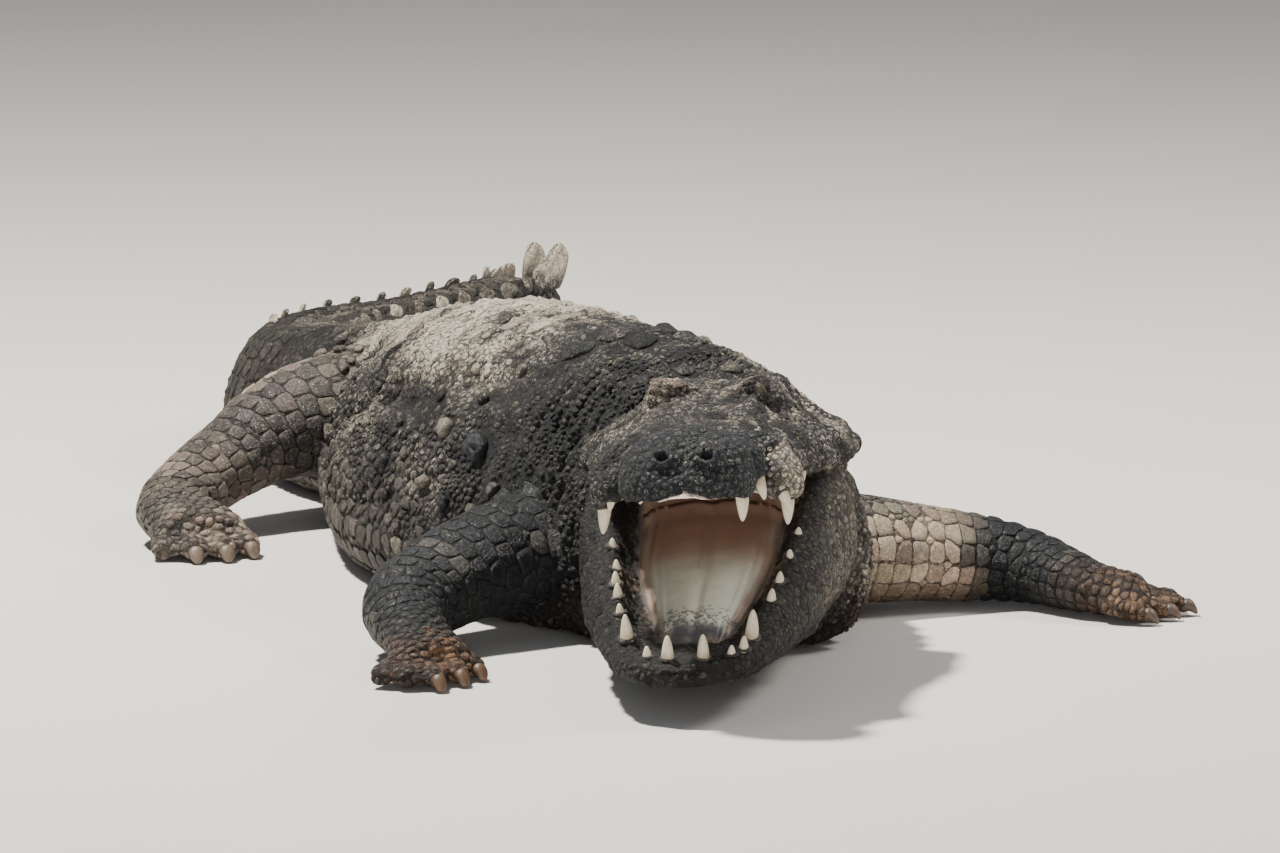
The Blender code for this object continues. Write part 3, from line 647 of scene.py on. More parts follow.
def paint(mesh, tint, marks):
    """Stores the colour of each point, and its marks: crust, wetness, mud and a fourth value."""
    for name, values in (("tint", tint), ("marks", marks)):
        if values.shape[1] == 3:
            values = np.column_stack([values, np.ones(len(values))])
        layer = mesh.color_attributes.new(name, "FLOAT_COLOR", "POINT")
        layer.data.foreach_set("color", np.ascontiguousarray(values, np.float32).ravel())


def new_object(name, mesh, *finishes):
    """Puts a mesh with its finishes into the scene."""
    made_object = bpy.data.objects.new(name, mesh)
    for finish in finishes:
        mesh.materials.append(finish)
    bpy.context.scene.collection.objects.link(made_object)
    return made_object


def split_quads(a, b, c, d):
    """Two triangles for each four-sided face."""
    return np.concatenate([
        np.stack([a, b, c], axis=-1).reshape(-1, 3), np.stack([a, c, d], axis=-1).reshape(-1, 3),
    ])


def grid_mesh(name, rings):
    """A closed tube through a grid of rings; the ends close onto their middle points."""
    n, m = rings.shape[:2]
    index = np.arange(n * m).reshape(n, m)
    following = np.roll(index, -1, axis=1)
    points = np.vstack([rings.reshape(-1, 3), rings[0].mean(axis=0), rings[-1].mean(axis=0)])
    triangles = np.vstack([
        split_quads(index[:-1], following[:-1], following[1:], index[1:]),
        np.column_stack([following[0], index[0], np.full(m, n * m)]),
        np.column_stack([index[-1], following[-1], np.full(m, n * m + 1)]),
    ])
    return triangle_mesh(name, points, triangles)


def grid_arrays(rings):
    """Points and triangles of a closed tube, for joining."""
    mesh = grid_mesh("tube", rings)
    arrays = mesh_points(mesh), mesh_triangles(mesh)
    bpy.data.meshes.remove(mesh)
    return arrays


def joined(parts):
    """Several sets of arrays, each with points and triangles first, as one set."""
    sets, base = [], 0
    for points, triangles, *rest in parts:
        sets.append((points, triangles + base, *rest))
        base += len(points)
    return [np.concatenate(arrays) for arrays in zip(*sets)]


# ---- the skin ------------------------------------------------------------------------------

def joined_skin(forms, voxel):
    """The forms joined into one surface of even small faces."""
    points, faces = form_mesh(forms)
    mesh = bpy.data.meshes.new("forms")
    mesh.from_pydata(points.tolist(), [], faces)
    helper = bpy.data.objects.new("forms", mesh)
    bpy.context.scene.collection.objects.link(helper)
    modifier = helper.modifiers.new("join", "REMESH")
    modifier.mode = "VOXEL"
    modifier.voxel_size = voxel
    bpy.context.view_layer.update()
    evaluated = helper.evaluated_get(bpy.context.evaluated_depsgraph_get())
    skin = bpy.data.meshes.new_from_object(evaluated)
    bpy.data.objects.remove(helper)
    return skin


def refined(mesh):
    """Finer faces round the eyes and the nostrils."""
    spots = [
        (Vector(on_head(sign, place)), reach)
        for place, reach in ((EYE_AT, 0.044), (NOSTRIL_AT, 0.022)) for sign in (-1, 1)
    ]
    bm = bmesh.new()
    bm.from_mesh(mesh)
    for share in (1.0, 0.72):
        edges = [
            edge for edge in bm.edges
            if any((edge.verts[0].co - spot).length < reach * share for spot, reach in spots)
        ]
        bmesh.ops.subdivide_edges(bm, edges=edges, cuts=1, use_grid_fill=True)
    bmesh.ops.triangulate(bm, faces=[face for face in bm.faces if len(face.verts) > 4])
    bm.to_mesh(mesh)
    bm.free()


def junction_weight(code, pairs, rings):
    """1 where two forms meet, falling to 0 a number of edges away."""
    weight = np.zeros(len(code))
    cross = pairs[code[pairs[:, 0]] != code[pairs[:, 1]]]
    weight[cross.ravel()] = 1.0
    for _ in range(rings):
        spread = weight.copy()
        np.maximum.at(spread, pairs[:, 0], weight[pairs[:, 1]] - 1.0 / rings)
        np.maximum.at(spread, pairs[:, 1], weight[pairs[:, 0]] - 1.0 / rings)
        weight = spread
    return weight


def cream_share(back):
    """Half-width of the pale floor of the mouth, as a share of the jaw's."""
    return smooth_table(TONGUE, np.clip(back, 0.066, 0.404))[:, 0]


def regions(points, read):
    """Soft masks of the animal's regions, from 0 to 1, and places within them."""
    code, run, turn = read["code"], read["run"], read["turn"]
    high = 1 - np.abs(2 * turn - 1)
    x, back, z = head_local(points)
    body, head, jaw = code == BODY, code == HEAD, code == JAW
    inside_head = np.clip(back, 0, HEAD_LENGTH)
    half_width = smooth_table(SKULL, inside_head)[:, 0]
    before_corner = ramp(MOUTH_CORNER + 0.01 - back, 0.0, 0.02)
    palate = head * ramp(0.90 - np.abs(x) / half_width, 0.0, 0.06) * ramp(0.30 - high, 0.0, 0.04)
    palate = palate * before_corner
    jaw_half, under, rim, _ = jaw_sizes(inside_head)
    level = (points[:, 2] - HEAD_ROLL * x - under) / np.maximum(rim - under, 0.01)
    across = np.abs(x) / jaw_half
    floor = jaw * ramp(cream_share(back) + 0.15 - across, 0.0, 0.04) * ramp(level, 0.25, 0.40)
    floor = floor * ramp(back, 0.105, 0.125) * before_corner * ramp(high, 0.50, 0.56)
    return {
        "code": code, "run": run, "turn": turn, "high": high, "x": x, "back": back, "z": z,
        "body": body, "head": head, "jaw": jaw, "palate": palate, "floor": floor,
        "mouth": np.maximum(palate, floor), "across": across, "level": level,
    }


def saddle_share(area):
    """1 on top of the trunk, where the hide is flat and pale."""
    return area["body"] * ramp(area["high"], 0.62, 0.74) * ramp(area["run"], 0.20, 0.34)


def nose_block(area):
    """1 on the block of the nose, ahead of the slanting seam."""
    return area["head"] * ramp(0.105 + 0.55 * area["z"] - area["back"], 0.0, 0.012)


def sculpt(points, area):
    """How far each point moves out along its normal: folds, ridges, hollows and lips."""
    x, back, z, run, high, level = (area[key] for key in ("x", "back", "z", "run", "high", "level"))
    head, jaw, body = area["head"], area["jaw"], area["body"]
    side = np.abs(x)
    outside = 1 - area["mouth"]
    move = np.zeros(len(points))

    # Lips: a rounded swelling over each tooth.
    for teeth, table, radius, mask in (
        (UPPER_TEETH, SKULL, 0.012, head * ramp(z, 0.060, 0.0)),
        (LOWER_TEETH, MANDIBLE, 0.011, jaw * ramp(level, 0.55, 0.85)),
    ):
        for sign, place, length, _, *share in teeth:
            edge = smooth_table(table, place)[0, 0] * (share[0] if share else 1.0)
            move += mask * (0.0015 + 0.10 * length) * round_hill(x - sign * edge, back - place, radius)
    # Ridge from each eye to the nose with a trench beside it, and the square edge of the skull's table.
    track = 0.050 + 0.010 * np.sin((back - 0.10) * 12)
    ridge = hill(side - track, 0.011) * ramp(back, 0.11, 0.15) * ramp(back, 0.34, 0.29)
    move += head * ramp(z, 0.03, 0.05) * 0.0045 * ridge
    trench = hill(side - track - 0.028, 0.014) * ramp(back, 0.17, 0.22) * ramp(back, 0.36, 0.30)
    move -= head * ramp(z, 0.03, 0.05) * 0.0035 * trench
    table_edge = hill(side - 0.074, 0.010) * ramp(back, 0.385, 0.41) * ramp(back, 0.52, 0.49)
    move += head * ramp(z, 0.05, 0.07) * 0.006 * table_edge
    # A seam behind the nose's block, which stands proud with a heavy rounded front.
    seam = hill(back - 0.098 - 0.55 * z, 0.010) * ramp(side, 0.035, 0.062)
    move -= head * ramp(z, -0.02, 0.01) * ramp(z, 0.085, 0.06) * 0.009 * seam * outside
    block = ramp(0.092 + 0.55 * z - back, 0.0, 0.016) * ramp(z, 0.004, 0.020)
    move += head * block * 0.0045
    lobe = np.exp(-((back - 0.150) / 0.030) ** 2 - ((z - 0.018) / 0.026) ** 2) * ramp(side, 0.07, 0.10)
    move += head * lobe * 0.0055 * outside
    # Nostrils: two crescent slits on a low round disc.
    for sign in (-1, 1):
        dx = x - sign * NOSTRIL_AT[0]
        reach = np.sqrt(dx**2 + (0.8 * (back - NOSTRIL_AT[1])) ** 2 + (1.3 * (z - NOSTRIL_AT[2])) ** 2)
        move += head * 0.0030 * hill(reach - 0.0110, 0.0045)
        move -= head * 0.0100 * np.exp(-(reach / 0.0060) ** 4)
    # Rough skull: low lumps and pits.
    rough = fractal_noise(points, 0.030, 5) - 0.5
    pits = ramp(value_noise(points, 0.011, 9), 0.62, 0.90)
    move += (head | jaw) * outside * (0.0085 * rough - 0.0026 * pits)
    # Knobbly brows and the hard lumps behind them.
    brow = round_hill(side - 0.058, back - 0.345, 0.036) * ramp(z, 0.05, 0.07)
    move += head * brow * 0.024 * (fractal_noise(points, 0.017, 15, 2) - 0.46)
    for place_x, place_back, radius, height in BROW_LUMPS:
        move += head * height * round_hill(x - place_x, back - place_back, radius) * ramp(z, 0.04, 0.06)
    # Hard creased hide over the snout and skull, and ragged edges to the sides of the skull.
    hard = head * outside * ramp(back, 0.09, 0.13)
    move += hard * 0.0060 * (ridged(points, 0.021, 19, (1.0, 0.6, 1.2)) - 0.62)
    move += head * outside * 0.0026 * (ridged(points, 0.010, 25) - 0.62)
    ragged = head * ramp(side, 0.12, 0.15) * ramp(back, 0.34, 0.40)
    move += ragged * 0.010 * (ridged(points, 0.026, 27) - 0.60)
    # Dry wrinkles that run back from the brows over the crown.
    crown = head * ramp(back, 0.36, 0.40) * ramp(z, 0.05, 0.08)
    move += crown * 0.0050 * (ridged(points, 0.016, 17, (1.0, 0.45, 1.0)) - 0.6)
    # Corner of the jaws: a hollow in the cheek.
    cheek = -((back - 0.425) / 0.030) ** 2 - ((side - 0.160) / 0.030) ** 2 - ((z + 0.008) / 0.020) ** 2
    move -= (head | jaw) * 0.014 * np.exp(cheek) * outside
    # Sides of the lower jaw: shallow folds that run along it.
    lines = ridged(np.column_stack([back * 0.35, level * 0.06, x * 0.2]), 0.020, 3)
    move += jaw * outside * (0.0045 * (lines - 0.5)) * ramp(level, 1.0, 0.8)
    move += jaw * outside * 0.0030 * (ridged(points, 0.017, 29) - 0.62)
    # Neck and throat: upright folds.
    fold_at = run + 0.02 * (fractal_noise(points, 0.09, 21) - 0.5) * 2
    upright = np.abs(np.sin(fold_at * math.pi / 0.036)) ** 0.7
    neck = body * ramp(run, 0.40, 0.22) * ramp(high, 0.93, 0.74)
    move += neck * (0.0135 * upright - 0.0095)
    move += body * ramp(run, 0.45, 0.25) * 0.009 * (ridged(points, 0.022, 23) - 0.6)
    # Flank: long slanting folds, with a lumpy hide between them.
    slant = high * 0.58 + 0.22 * run + 0.04 * (fractal_noise(points, 0.16, 31) - 0.5)
    long_fold = np.abs(np.sin(slant * math.pi / 0.105)) ** 0.6
    flank = body * ramp(run, 0.25, 0.45) * ramp(run, 1.40, 1.15)
    flank = flank * ramp(high, 0.40, 0.50) * ramp(high, 0.86, 0.74)
    move += flank * (0.0110 * long_fold - 0.0080)
    move += flank * 0.0130 * (ridged(points, 0.042, 33) - 0.62)
    loose = body * ramp(run, 0.25, 0.45) * ramp(run, 1.50, 1.25) * ramp(high, 0.46, 0.54)
    move += loose * 0.0062 * (ridged(points, 0.018, 35, (1.0, 0.7, 1.0)) - 0.62)
    move += outside * 0.0060 * (fractal_noise(points, 0.085, 41) - 0.5)
    return move


def dent(points, centre, radius, depth):
    """A soft hollow round a place, with a low ring of swollen skin."""
    distance = away(points, centre) / radius
    return -depth * hill(distance, 1.0) + 0.35 * depth * hill(distance - 1.5, 0.45)


# Edges over which the joins between forms are smoothed, and rounds of smoothing.
JUNCTION_EDGES, SMOOTHING_ROUNDS = 9, 10

# Lumps and pits of the brows: sideways, back, radius, and height above or depth below the rest.
BROW_LUMPS = (
    (-0.040, 0.322, 0.011, 0.009), (-0.060, 0.338, 0.009, 0.007), (-0.030, 0.342, 0.009, 0.006),
    (0.056, 0.316, 0.011, 0.011), (0.071, 0.386, 0.012, 0.008), (0.040, 0.334, 0.008, 0.006),
    (0.082, 0.345, 0.013, -0.012), (0.030, 0.375, 0.014, -0.006),
)

# Hollows in the hips and behind the shoulders: place, radius and depth.
HOLLOWS = (
    ((-0.184, 0.074, 0.266), 0.020, 0.020),
    ((0.122, 0.080, 0.266), 0.020, 0.018),
    ((-0.262, -0.395, 0.150), 0.040, 0.010),
    ((0.262, -0.400, 0.150), 0.040, 0.010),
)


def limb_folds(points, area):
    """Creases where the limbs bend and where the wrists and ankles turn."""
    move = np.zeros(len(points))
    for name in LEG_NAMES:
        mask = area["code"] == LEG_FORM[name]
        near_joint = hill(away(points, LEGS[name][1]), 0.075)
        near_wrist = hill(away(points, LEGS[name][2]), 0.055)
        wave = np.abs(np.sin(area["run"] * math.pi / 0.026)) ** 0.6 - 0.65
        move += mask * wave * (0.0085 * near_joint + 0.0055 * near_wrist)
        muscle = hill(area["run"] - 0.16, 0.09)
        move += mask * muscle * 0.006 * np.sin(area["turn"] * 2 * math.pi)
    return move


def eye_frame(sign):
    """An eye's centre, and the directions out of its socket, along its lids and up."""
    outward = unit(head_place(sign * 1.0, 0, 0) - head_place(0, 0, 0))
    look = unit(0.72 * outward + 0.58 * HEAD_FORWARD + np.array([0, 0, 0.38]))
    along = unit(np.cross(look, (0, 0, 1.0)))
    return on_head(sign, EYE_AT), look, along, unit(np.cross(along, look))


def open_eyes(points, area):
    """Wraps the skin round each eyeball as two heavy lids, with a narrow opening."""
    for sign in (-1, 1):
        centre, look, along, upward = eye_frame(sign)
        offset = points - centre
        distance = np.linalg.norm(offset, axis=1)
        direction = offset / np.maximum(distance, 1e-9)[:, None]
        u, v, w = direction @ along, direction @ upward, direction @ look
        close = (distance < LID_REACH) * area["head"] * 1.0
        lids = ramp(w, 0.10, 0.45)
        target = EYE_RADIUS + 0.0042 + 0.0022 * hill(np.abs(v) - 0.30, 0.12)
        target = target + 0.0014 * np.sin(v * 42) * ramp(np.abs(v), 0.28, 0.45)
        slit = (u / 0.74) ** 2 + ((v - 0.02) / (0.15 * np.sqrt(np.clip(1 - (u / 0.80) ** 2, 0.05, 1)))) ** 2
        opening = ramp(slit, 1.15, 0.80) * (w > 0.2)
        wanted = target * (1 - opening) + (EYE_RADIUS - 0.0030) * opening
        blend = close * lids * ramp(distance, LID_REACH, 0.034)
        moved = distance + (wanted - distance) * blend
        brow = close * hill(v - 0.62, 0.20) * ramp(w, -0.1, 0.3) * 0.0060
        wrapped = centre + direction * (moved + brow)[:, None]
        points = np.where((distance < LID_REACH)[:, None], wrapped, points)
    return points


def lining_faces(mesh, mouth):
    """Which faces belong to the lining of the mouth."""
    corner = read_values(mesh.loops, "vertex_index")
    start = read_values(mesh.polygons, "loop_start")
    return np.add.reduceat(mouth[corner], start) / np.diff(np.append(start, len(corner))) > 0.5


def make_skin(settings):
    """The one skin that stands for every node of flesh, and what later pieces read from it."""
    forms = make_forms()
    lookup = Lookup(forms)
    mesh = joined_skin(forms, settings.skin_face)
    refined(mesh)
    points = mesh_points(mesh)
    pairs = read_values(mesh.edges, "vertices", 2)
    read = lookup.read(points)
    weight = np.clip(junction_weight(read["code"], pairs, JUNCTION_EDGES) * 1.2, 0, 1)
    points = relax(points, pairs, np.maximum(weight, 0.35), SMOOTHING_ROUNDS)
    set_points(mesh, points)
    area = regions(points, read)
    move = sculpt(points, area) + limb_folds(points, area)
    for centre, radius, depth in HOLLOWS:
        move += dent(points, centre, radius, depth)
    move -= settings.coat_depth * (1 - area["mouth"] * 0.6)
    points = points + mesh_normals(mesh) * move[:, None]
    points = open_eyes(points, area)
    points[:, 2] = np.maximum(points[:, 2], settings.coat_depth * 0.8)
    set_points(mesh, points)
    mesh.polygons.foreach_set("use_smooth", np.ones(len(mesh.polygons), bool))
    made.update(forms=forms, lookup=lookup, points=points, area=area)
    return mesh


# ---- roots of the scales -------------------------------------------------------------------

# How far a plate's root may lie from the skin, how near two plates may stand as a share of their
# sizes, and how near a loose scale may stand to a plate, as shares of the plate's and its own size.
SNAP_REACH = 0.016
CROWDED = 0.66
CLEAR_OF_PLATE, CLEAR_OF_SELF = 0.95, 0.45
# Area of a small scale, as a share of its half-pitch squared, and rounds in which they settle.
SCALE_AREA = 3.4
SETTLING_ROUNDS = 4
# Neighbours that bound a scale while it settles and in the end, and directions that it is read in.
SETTLING_NEIGHBOURS, FINAL_NEIGHBOURS, SETTLING_DIRECTIONS = 14, 18, 12
# From this value of "corner" a scale counts as square, and is longer than it is wide.
SQUARE_FROM = 8
CHUNK = 3000
# Share of the mouth's lining from which no scale grows.
LINING_FROM = 0.45

SCALE_FIELDS = ("size", "height", "gap", "dome", "corner", "keel", "piece", "rough")


def empty_roots():
    return {"place": [], "ahead": [], **{field: [] for field in SCALE_FIELDS}}


def add_roots(roots, places, ahead, *values):
    """Adds roots that share one size, height and so on, in the order of SCALE_FIELDS."""
    roots["place"].append(places)
    roots["ahead"].append(ahead)
    for field, value in zip(SCALE_FIELDS, values):
        roots[field].append(np.full(len(places), value))


def is_knob(roots):
    return roots["dome"] >= 1.0


def gathered(roots):
    """The rows of roots that were added one after another, as single arrays."""
    return {field: np.concatenate(values) for field, values in roots.items()}


def picked(roots, keep):
    """Only the roots that are kept."""
    return {field: values[keep] for field, values in roots.items()}


def ring_between(form, run):
    """The form's section a distance along it, and the direction in which the form runs there."""
    at = np.interp(run, form["run"], np.arange(len(form["run"])))
    low = int(min(at, len(form["run"]) - 2))
    ring = form["rings"][low] * (1 - at + low) + form["rings"][low + 1] * (at - low)
    return ring, form["rings"][low + 1] - form["rings"][low]


def around_ring(ring, shares):
    """Places at shares of a closed ring's length."""
    closed = np.vstack([ring, ring[:1]])
    run = running(closed)
    wanted = np.asarray(shares) % 1.0 * run[-1]
    return np.column_stack([np.interp(wanted, run, column) for column in closed.T]), run[-1]


def add_rows(roots, rng, form, runs, shares, piece, height, gap, dome, corner, keel=0.0, stagger=False,
             jitter=0.06, rough=0.0, size=None):
    """Rows of plates across a form, at the same shares round it in every row."""
    shares = np.asarray(shares, float)
    step = shares[1] - shares[0] if len(shares) > 1 else 0.02
    pitch = np.gradient(np.asarray(runs, float)) if len(runs) > 1 else [2.0 * (size or 0.01)]
    for k, run in enumerate(runs):
        ring, ahead = ring_between(form, run)
        offset = step / 2 if stagger and k % 2 else 0.0
        slide = rng.normal(0, jitter, len(shares)) * step
        places, length = around_ring(ring, shares + offset + slide)
        push = rng.normal(0, jitter, (len(shares), 1)) * pitch[k]
        index = np.round((shares + offset) % 1 * len(ring)).astype(int) % len(ring)
        heading = unit(ahead[index])
        reach = size or 0.5 * math.sqrt(max(pitch[k], 1e-4) * step * length)
        places = places + heading * push
        add_roots(roots, places, heading, reach, height, gap, dome, corner, keel, piece, rough)


def spaced(start, end, pitch):
    """Distances from start to end; the pitch is a number, or a function of the distance."""
    found = [start]
    while found[-1] < end:
        found.append(found[-1] + (pitch(found[-1]) if callable(pitch) else pitch))
    return found[:-1]


# The pieces of the coat. Plates of the tail that lie behind TAIL_END_FROM go into a piece of their own.
PIECES = (
    "scales_head", "scales_lower_jaw", "scales_neck", "scales_flank_right", "scales_flank_left",
    "scutes_back", "plates_belly", "plates_tail", "plates_tail_end", "plates_fore_right",
    "plates_fore_left", "plates_hind_right", "plates_hind_left",
)
PIECE = {name: k for k, name in enumerate(PIECES)}
TAIL_END_FROM = 1.15
# Distance run along the body from which its plates belong to the tail.
TAIL_FROM = 1.42


def even_shares(count):
    return (np.arange(count) + 0.5) / count


def plate_roots(forms, rng):
    """Roots of the plates that lie in rows: back, belly, tail, legs and toes."""
    roots = empty_roots()
    body = forms[0]
    length = body["run"][-1]

    # Back: keeled scutes, six across between the shoulders and four over the hips.
    def back_shares(count, width, run):
        _, around = around_ring(ring_between(body, run)[0], [0.0])
        step = width / around
        return 0.5 + (np.arange(count) - (count - 1) / 2) * step

    for run in spaced(0.46, TAIL_FROM, 0.050):
        count = 6 if 0.52 < run < 1.15 else 4
        add_rows(roots, rng, body, [run], back_shares(count, 0.046, run), PIECE["scutes_back"],
                 0.0022, 0.0009, 0.35, 9, 0.0052, jitter=0.05, rough=0.9, size=0.0215)
    # Neck: a knot of four large scutes with one on each side, and a short row behind the skull.
    for run, size, asides in (
        (0.245, 0.030, (-0.036, 0.036)),
        (0.305, 0.030, (-0.095, -0.036, 0.036, 0.095)),
        (0.105, 0.016, (-0.09, -0.03, 0.03, 0.09)),
    ):
        ring, ahead = ring_between(body, run)
        _, around = around_ring(ring, [0.0])
        places, _ = around_ring(ring, 0.5 + np.array(asides) / around)
        heading = np.tile(unit(ahead[len(ring) // 2]), (len(asides), 1))
        add_roots(roots, places, heading, size, 0.0045, 0.0012, 0.4, 8, 0.009, PIECE["scales_neck"], 0.5)
    # Belly and the lowest flank: rectangular plates in rows and columns.
    columns = np.arange(-9, 10) * 0.0232
    add_rows(roots, rng, body, spaced(0.40, TAIL_FROM, 0.026), columns, PIECE["plates_belly"],
             0.0038, 0.0013, 0.45, 8, jitter=0.06, rough=0.3)
    # Flank just above: smaller, rounder scales in offset rows.
    for sign, piece in ((1, "scales_flank_left"), (-1, "scales_flank_right")):
        for shift, share in enumerate((0.229, 0.246, 0.263, 0.281)):
            runs = spaced(0.42 + 0.0105 * (shift % 2), 1.34, 0.021)
            add_rows(roots, rng, body, runs, [share if sign > 0 else 1 - share], PIECE[piece],
                     0.0052 - 0.0006 * shift, 0.0011, 0.85, 6, jitter=0.16, rough=0.6,
                     size=0.0098 - 0.0005 * shift)
    # Tail: square plates in rings.
    runs = spaced(TAIL_FROM + 0.02, length - 0.02, lambda at: 0.029 if at < 2.5 else 0.024)
    add_rows(roots, rng, body, runs, even_shares(26), PIECE["plates_tail"],
             0.0024, 0.0010, 0.20, 12, 0.0012, jitter=0.03, rough=0.2)
    # Legs, then the toes.
    for name in LEG_NAMES:
        fore = name.startswith("fore")
        count, least, more, near = (14, 0.0095, 0.0155, 0.05) if fore else (15, 0.010, 0.018, 0.06)
        form = next(f for f in forms if f["code"] == LEG_FORM[name])
        end = form["run"][-1]

        def pitch(at):
            return least + more * float(ramp(end - at, near, 0.26))

        piece = PIECE["plates_" + name]
        add_rows(roots, rng, form, spaced(0.03, end - 0.006, pitch), even_shares(count), piece,
                 0.0017, 0.0004, 0.10, 40, stagger=name != "fore_left", jitter=0.05, rough=0.4)
        for toe in (f for f in forms if f["code"] == TOE_FORM[name]):
            runs = spaced(toe["run"][0] + 0.016, toe["run"][-1] - 0.003, 0.0078)
            add_rows(roots, rng, toe, runs, even_shares(6), piece,
                     0.0013, 0.0004, 0.20, 14, jitter=0.05, rough=0.5)
    return gathered(roots)


def pebble_size(area, points):
    """Half-pitch of the small irregular scales at each place."""
    patchy = value_noise(points, 0.035, 51)
    return np.select(
        [area["body"] & (area["run"] < 0.40), area["body"], area["head"], area["jaw"]],
        [0.0042 + 0.0026 * patchy, 0.0042 + 0.0034 * patchy,
         0.0036 + 0.0022 * patchy, 0.0040 + 0.0026 * patchy],
        default=0.0062,
    )


# The largest knobs of the right flank: place, radius, and how pale each is.
KNOBS = (
    ((-0.205, -0.360, 0.214), 0.0250, 0.0), ((-0.217, -0.265, 0.229), 0.0240, 0.4),
    ((-0.262, -0.147, 0.170), 0.0150, 0.0), ((-0.250, -0.270, 0.160), 0.0150, 0.6),
    ((-0.206, -0.420, 0.174), 0.0140, 0.2), ((-0.241, -0.340, 0.145), 0.0130, 0.0),
    ((-0.227, -0.388, 0.142), 0.0130, 0.0), ((-0.249, -0.191, 0.188), 0.0110, 0.4),
)


def tubercle_roots(rng, body):
    """Round knobs scattered over the flanks, larger towards the back."""
    roots = empty_roots()
    spots = []
    for side, piece in enumerate(("scales_flank_left", "scales_flank_right")):
        for run in np.arange(0.36, 1.34, 0.050):
            for row, share in enumerate((0.300, 0.325, 0.352, 0.380)):
                if rng.random() < (0.35, 0.45, 0.6, 0.7)[row]:
                    continue
                turn = share + rng.uniform(-0.010, 0.010)
                at = run + rng.uniform(-0.02, 0.02) + 0.025 * (row % 2)
                spots.append((at, abs(side - turn), rng.uniform(0.0065, 0.0120), piece))
    for at, turn, size, piece in spots:
        ring, ahead = ring_between(body, at)
        number = int(round(turn * len(ring))) % len(ring)
        add_knob(roots, ring[number], ahead[number], size, piece)
    for place, size, _ in KNOBS:
        add_knob(roots, np.array(place), np.array([0.0, 1.0, 0.0]), size, "scales_flank_right")
    return gathered(roots)


def add_knob(roots, place, ahead, size, piece):
    """One round knob's root; a dome of 1 marks it as a knob."""
    values = (size, size * 0.80, 0.0010, 1.0, 4, 0.0, PIECE[piece], 0.8)
    add_roots(roots, place[None], unit(ahead)[None], *values)


def search_tree(places):
    tree = KDTree(len(places))
    for k, place in enumerate(places.tolist()):
        tree.insert(place, k)
    tree.balance()
    return tree


def near_lists(places, count):
    """Numbers of each place's nearest others."""
    tree = search_tree(places)
    return np.array([[item[1] for item in tree.find_n(place, count + 1)][1:] for place in places.tolist()])


def reach_of_cells(roots, near, angles):
    """How far each scale reaches in each direction before it meets its neighbours."""
    place, normal, ahead = roots["place"], roots["normal"], roots["ahead"]
    aside = np.cross(normal, ahead)
    reach = np.empty((len(place), len(angles)))
    cos, sin = np.cos(angles), np.sin(angles)
    for start in range(0, len(place), CHUNK):
        own = slice(start, start + CHUNK)
        index = near[own]
        between = place[index] - place[own][:, None]
        square = np.where(roots["corner"][own] > SQUARE_FROM, 0.30, 1.0)[:, None]
        u = (between * ahead[own][:, None]).sum(-1)
        v = (between * aside[own][:, None]).sum(-1)
        depth = np.abs((between * normal[own][:, None]).sum(-1))
        flat = np.hypot(u, v)
        facing = (normal[index] * normal[own][:, None]).sum(-1)
        fits = (facing > 0.1) & (depth < 0.9 * flat + 1e-4) & (flat > 1e-5)
        size = roots["size"][own][:, None]
        limit = (u * u + square * v * v) * size / (size + roots["size"][index])
        lean = u[..., None] * cos + (square * v)[..., None] * sin
        closeness = np.where(fits[..., None] & (lean > 1e-4), lean / np.maximum(limit, 1e-9)[..., None], 0.0)
        power = roots["corner"][own][:, None, None]
        peak = closeness.max(axis=1, keepdims=True) + 1e-9
        total = ((closeness / peak) ** power).sum(axis=1) ** (1 / power[:, 0])
        reach[own] = 1 / np.maximum(peak[:, 0] * total, 1e-6)
    cap = np.where(roots["corner"] > SQUARE_FROM, 2.10, 1.30) * roots["size"]
    return np.minimum(reach, cap[:, None])


def snapped(tree, points):
    """The nearest places on the skin, and the skin's normals there."""
    found = [tree.find_nearest(point) for point in points.tolist()]
    return np.array([item[0][:] for item in found]), np.array([item[1][:] for item in found])


def thinned(roots, priority):
    """Drops a root that stands too near to one that matters more."""
    order = np.argsort(-priority, kind="stable")
    place, size = roots["place"], roots["size"]
    tree = search_tree(place)
    keep = np.ones(len(place), bool)
    rank = np.empty(len(place), int)
    rank[order] = np.arange(len(place))
    largest = size.max()
    for k in order:
        if not keep[k]:
            continue
        for _, other, distance in tree.find_range(place[k].tolist(), size[k] + largest):
            if other != k and keep[other] and rank[other] > rank[k]:
                if distance < CROWDED * (size[k] + size[other]):
                    keep[other] = False
    return picked(roots, keep)


def scatter(rng, mesh, weight):
    """Places spread at random over the skin, as many to its area as the weight says."""
    triangles = mesh_triangles(mesh)
    a, b, c = (made["points"][triangles[:, k]] for k in range(3))
    area = np.linalg.norm(np.cross(b - a, c - a), axis=1) / 2
    share = area * weight[triangles].mean(axis=1)
    count = int(share.sum())
    pick = np.searchsorted(np.cumsum(share) / share.sum(), rng.random(count))
    f, g = rng.random((2, count, 1))
    turn = f + g > 1
    f, g = np.where(turn, 1 - f, f), np.where(turn, 1 - g, g)
    return a[pick] + (b[pick] - a[pick]) * f + (c[pick] - a[pick]) * g


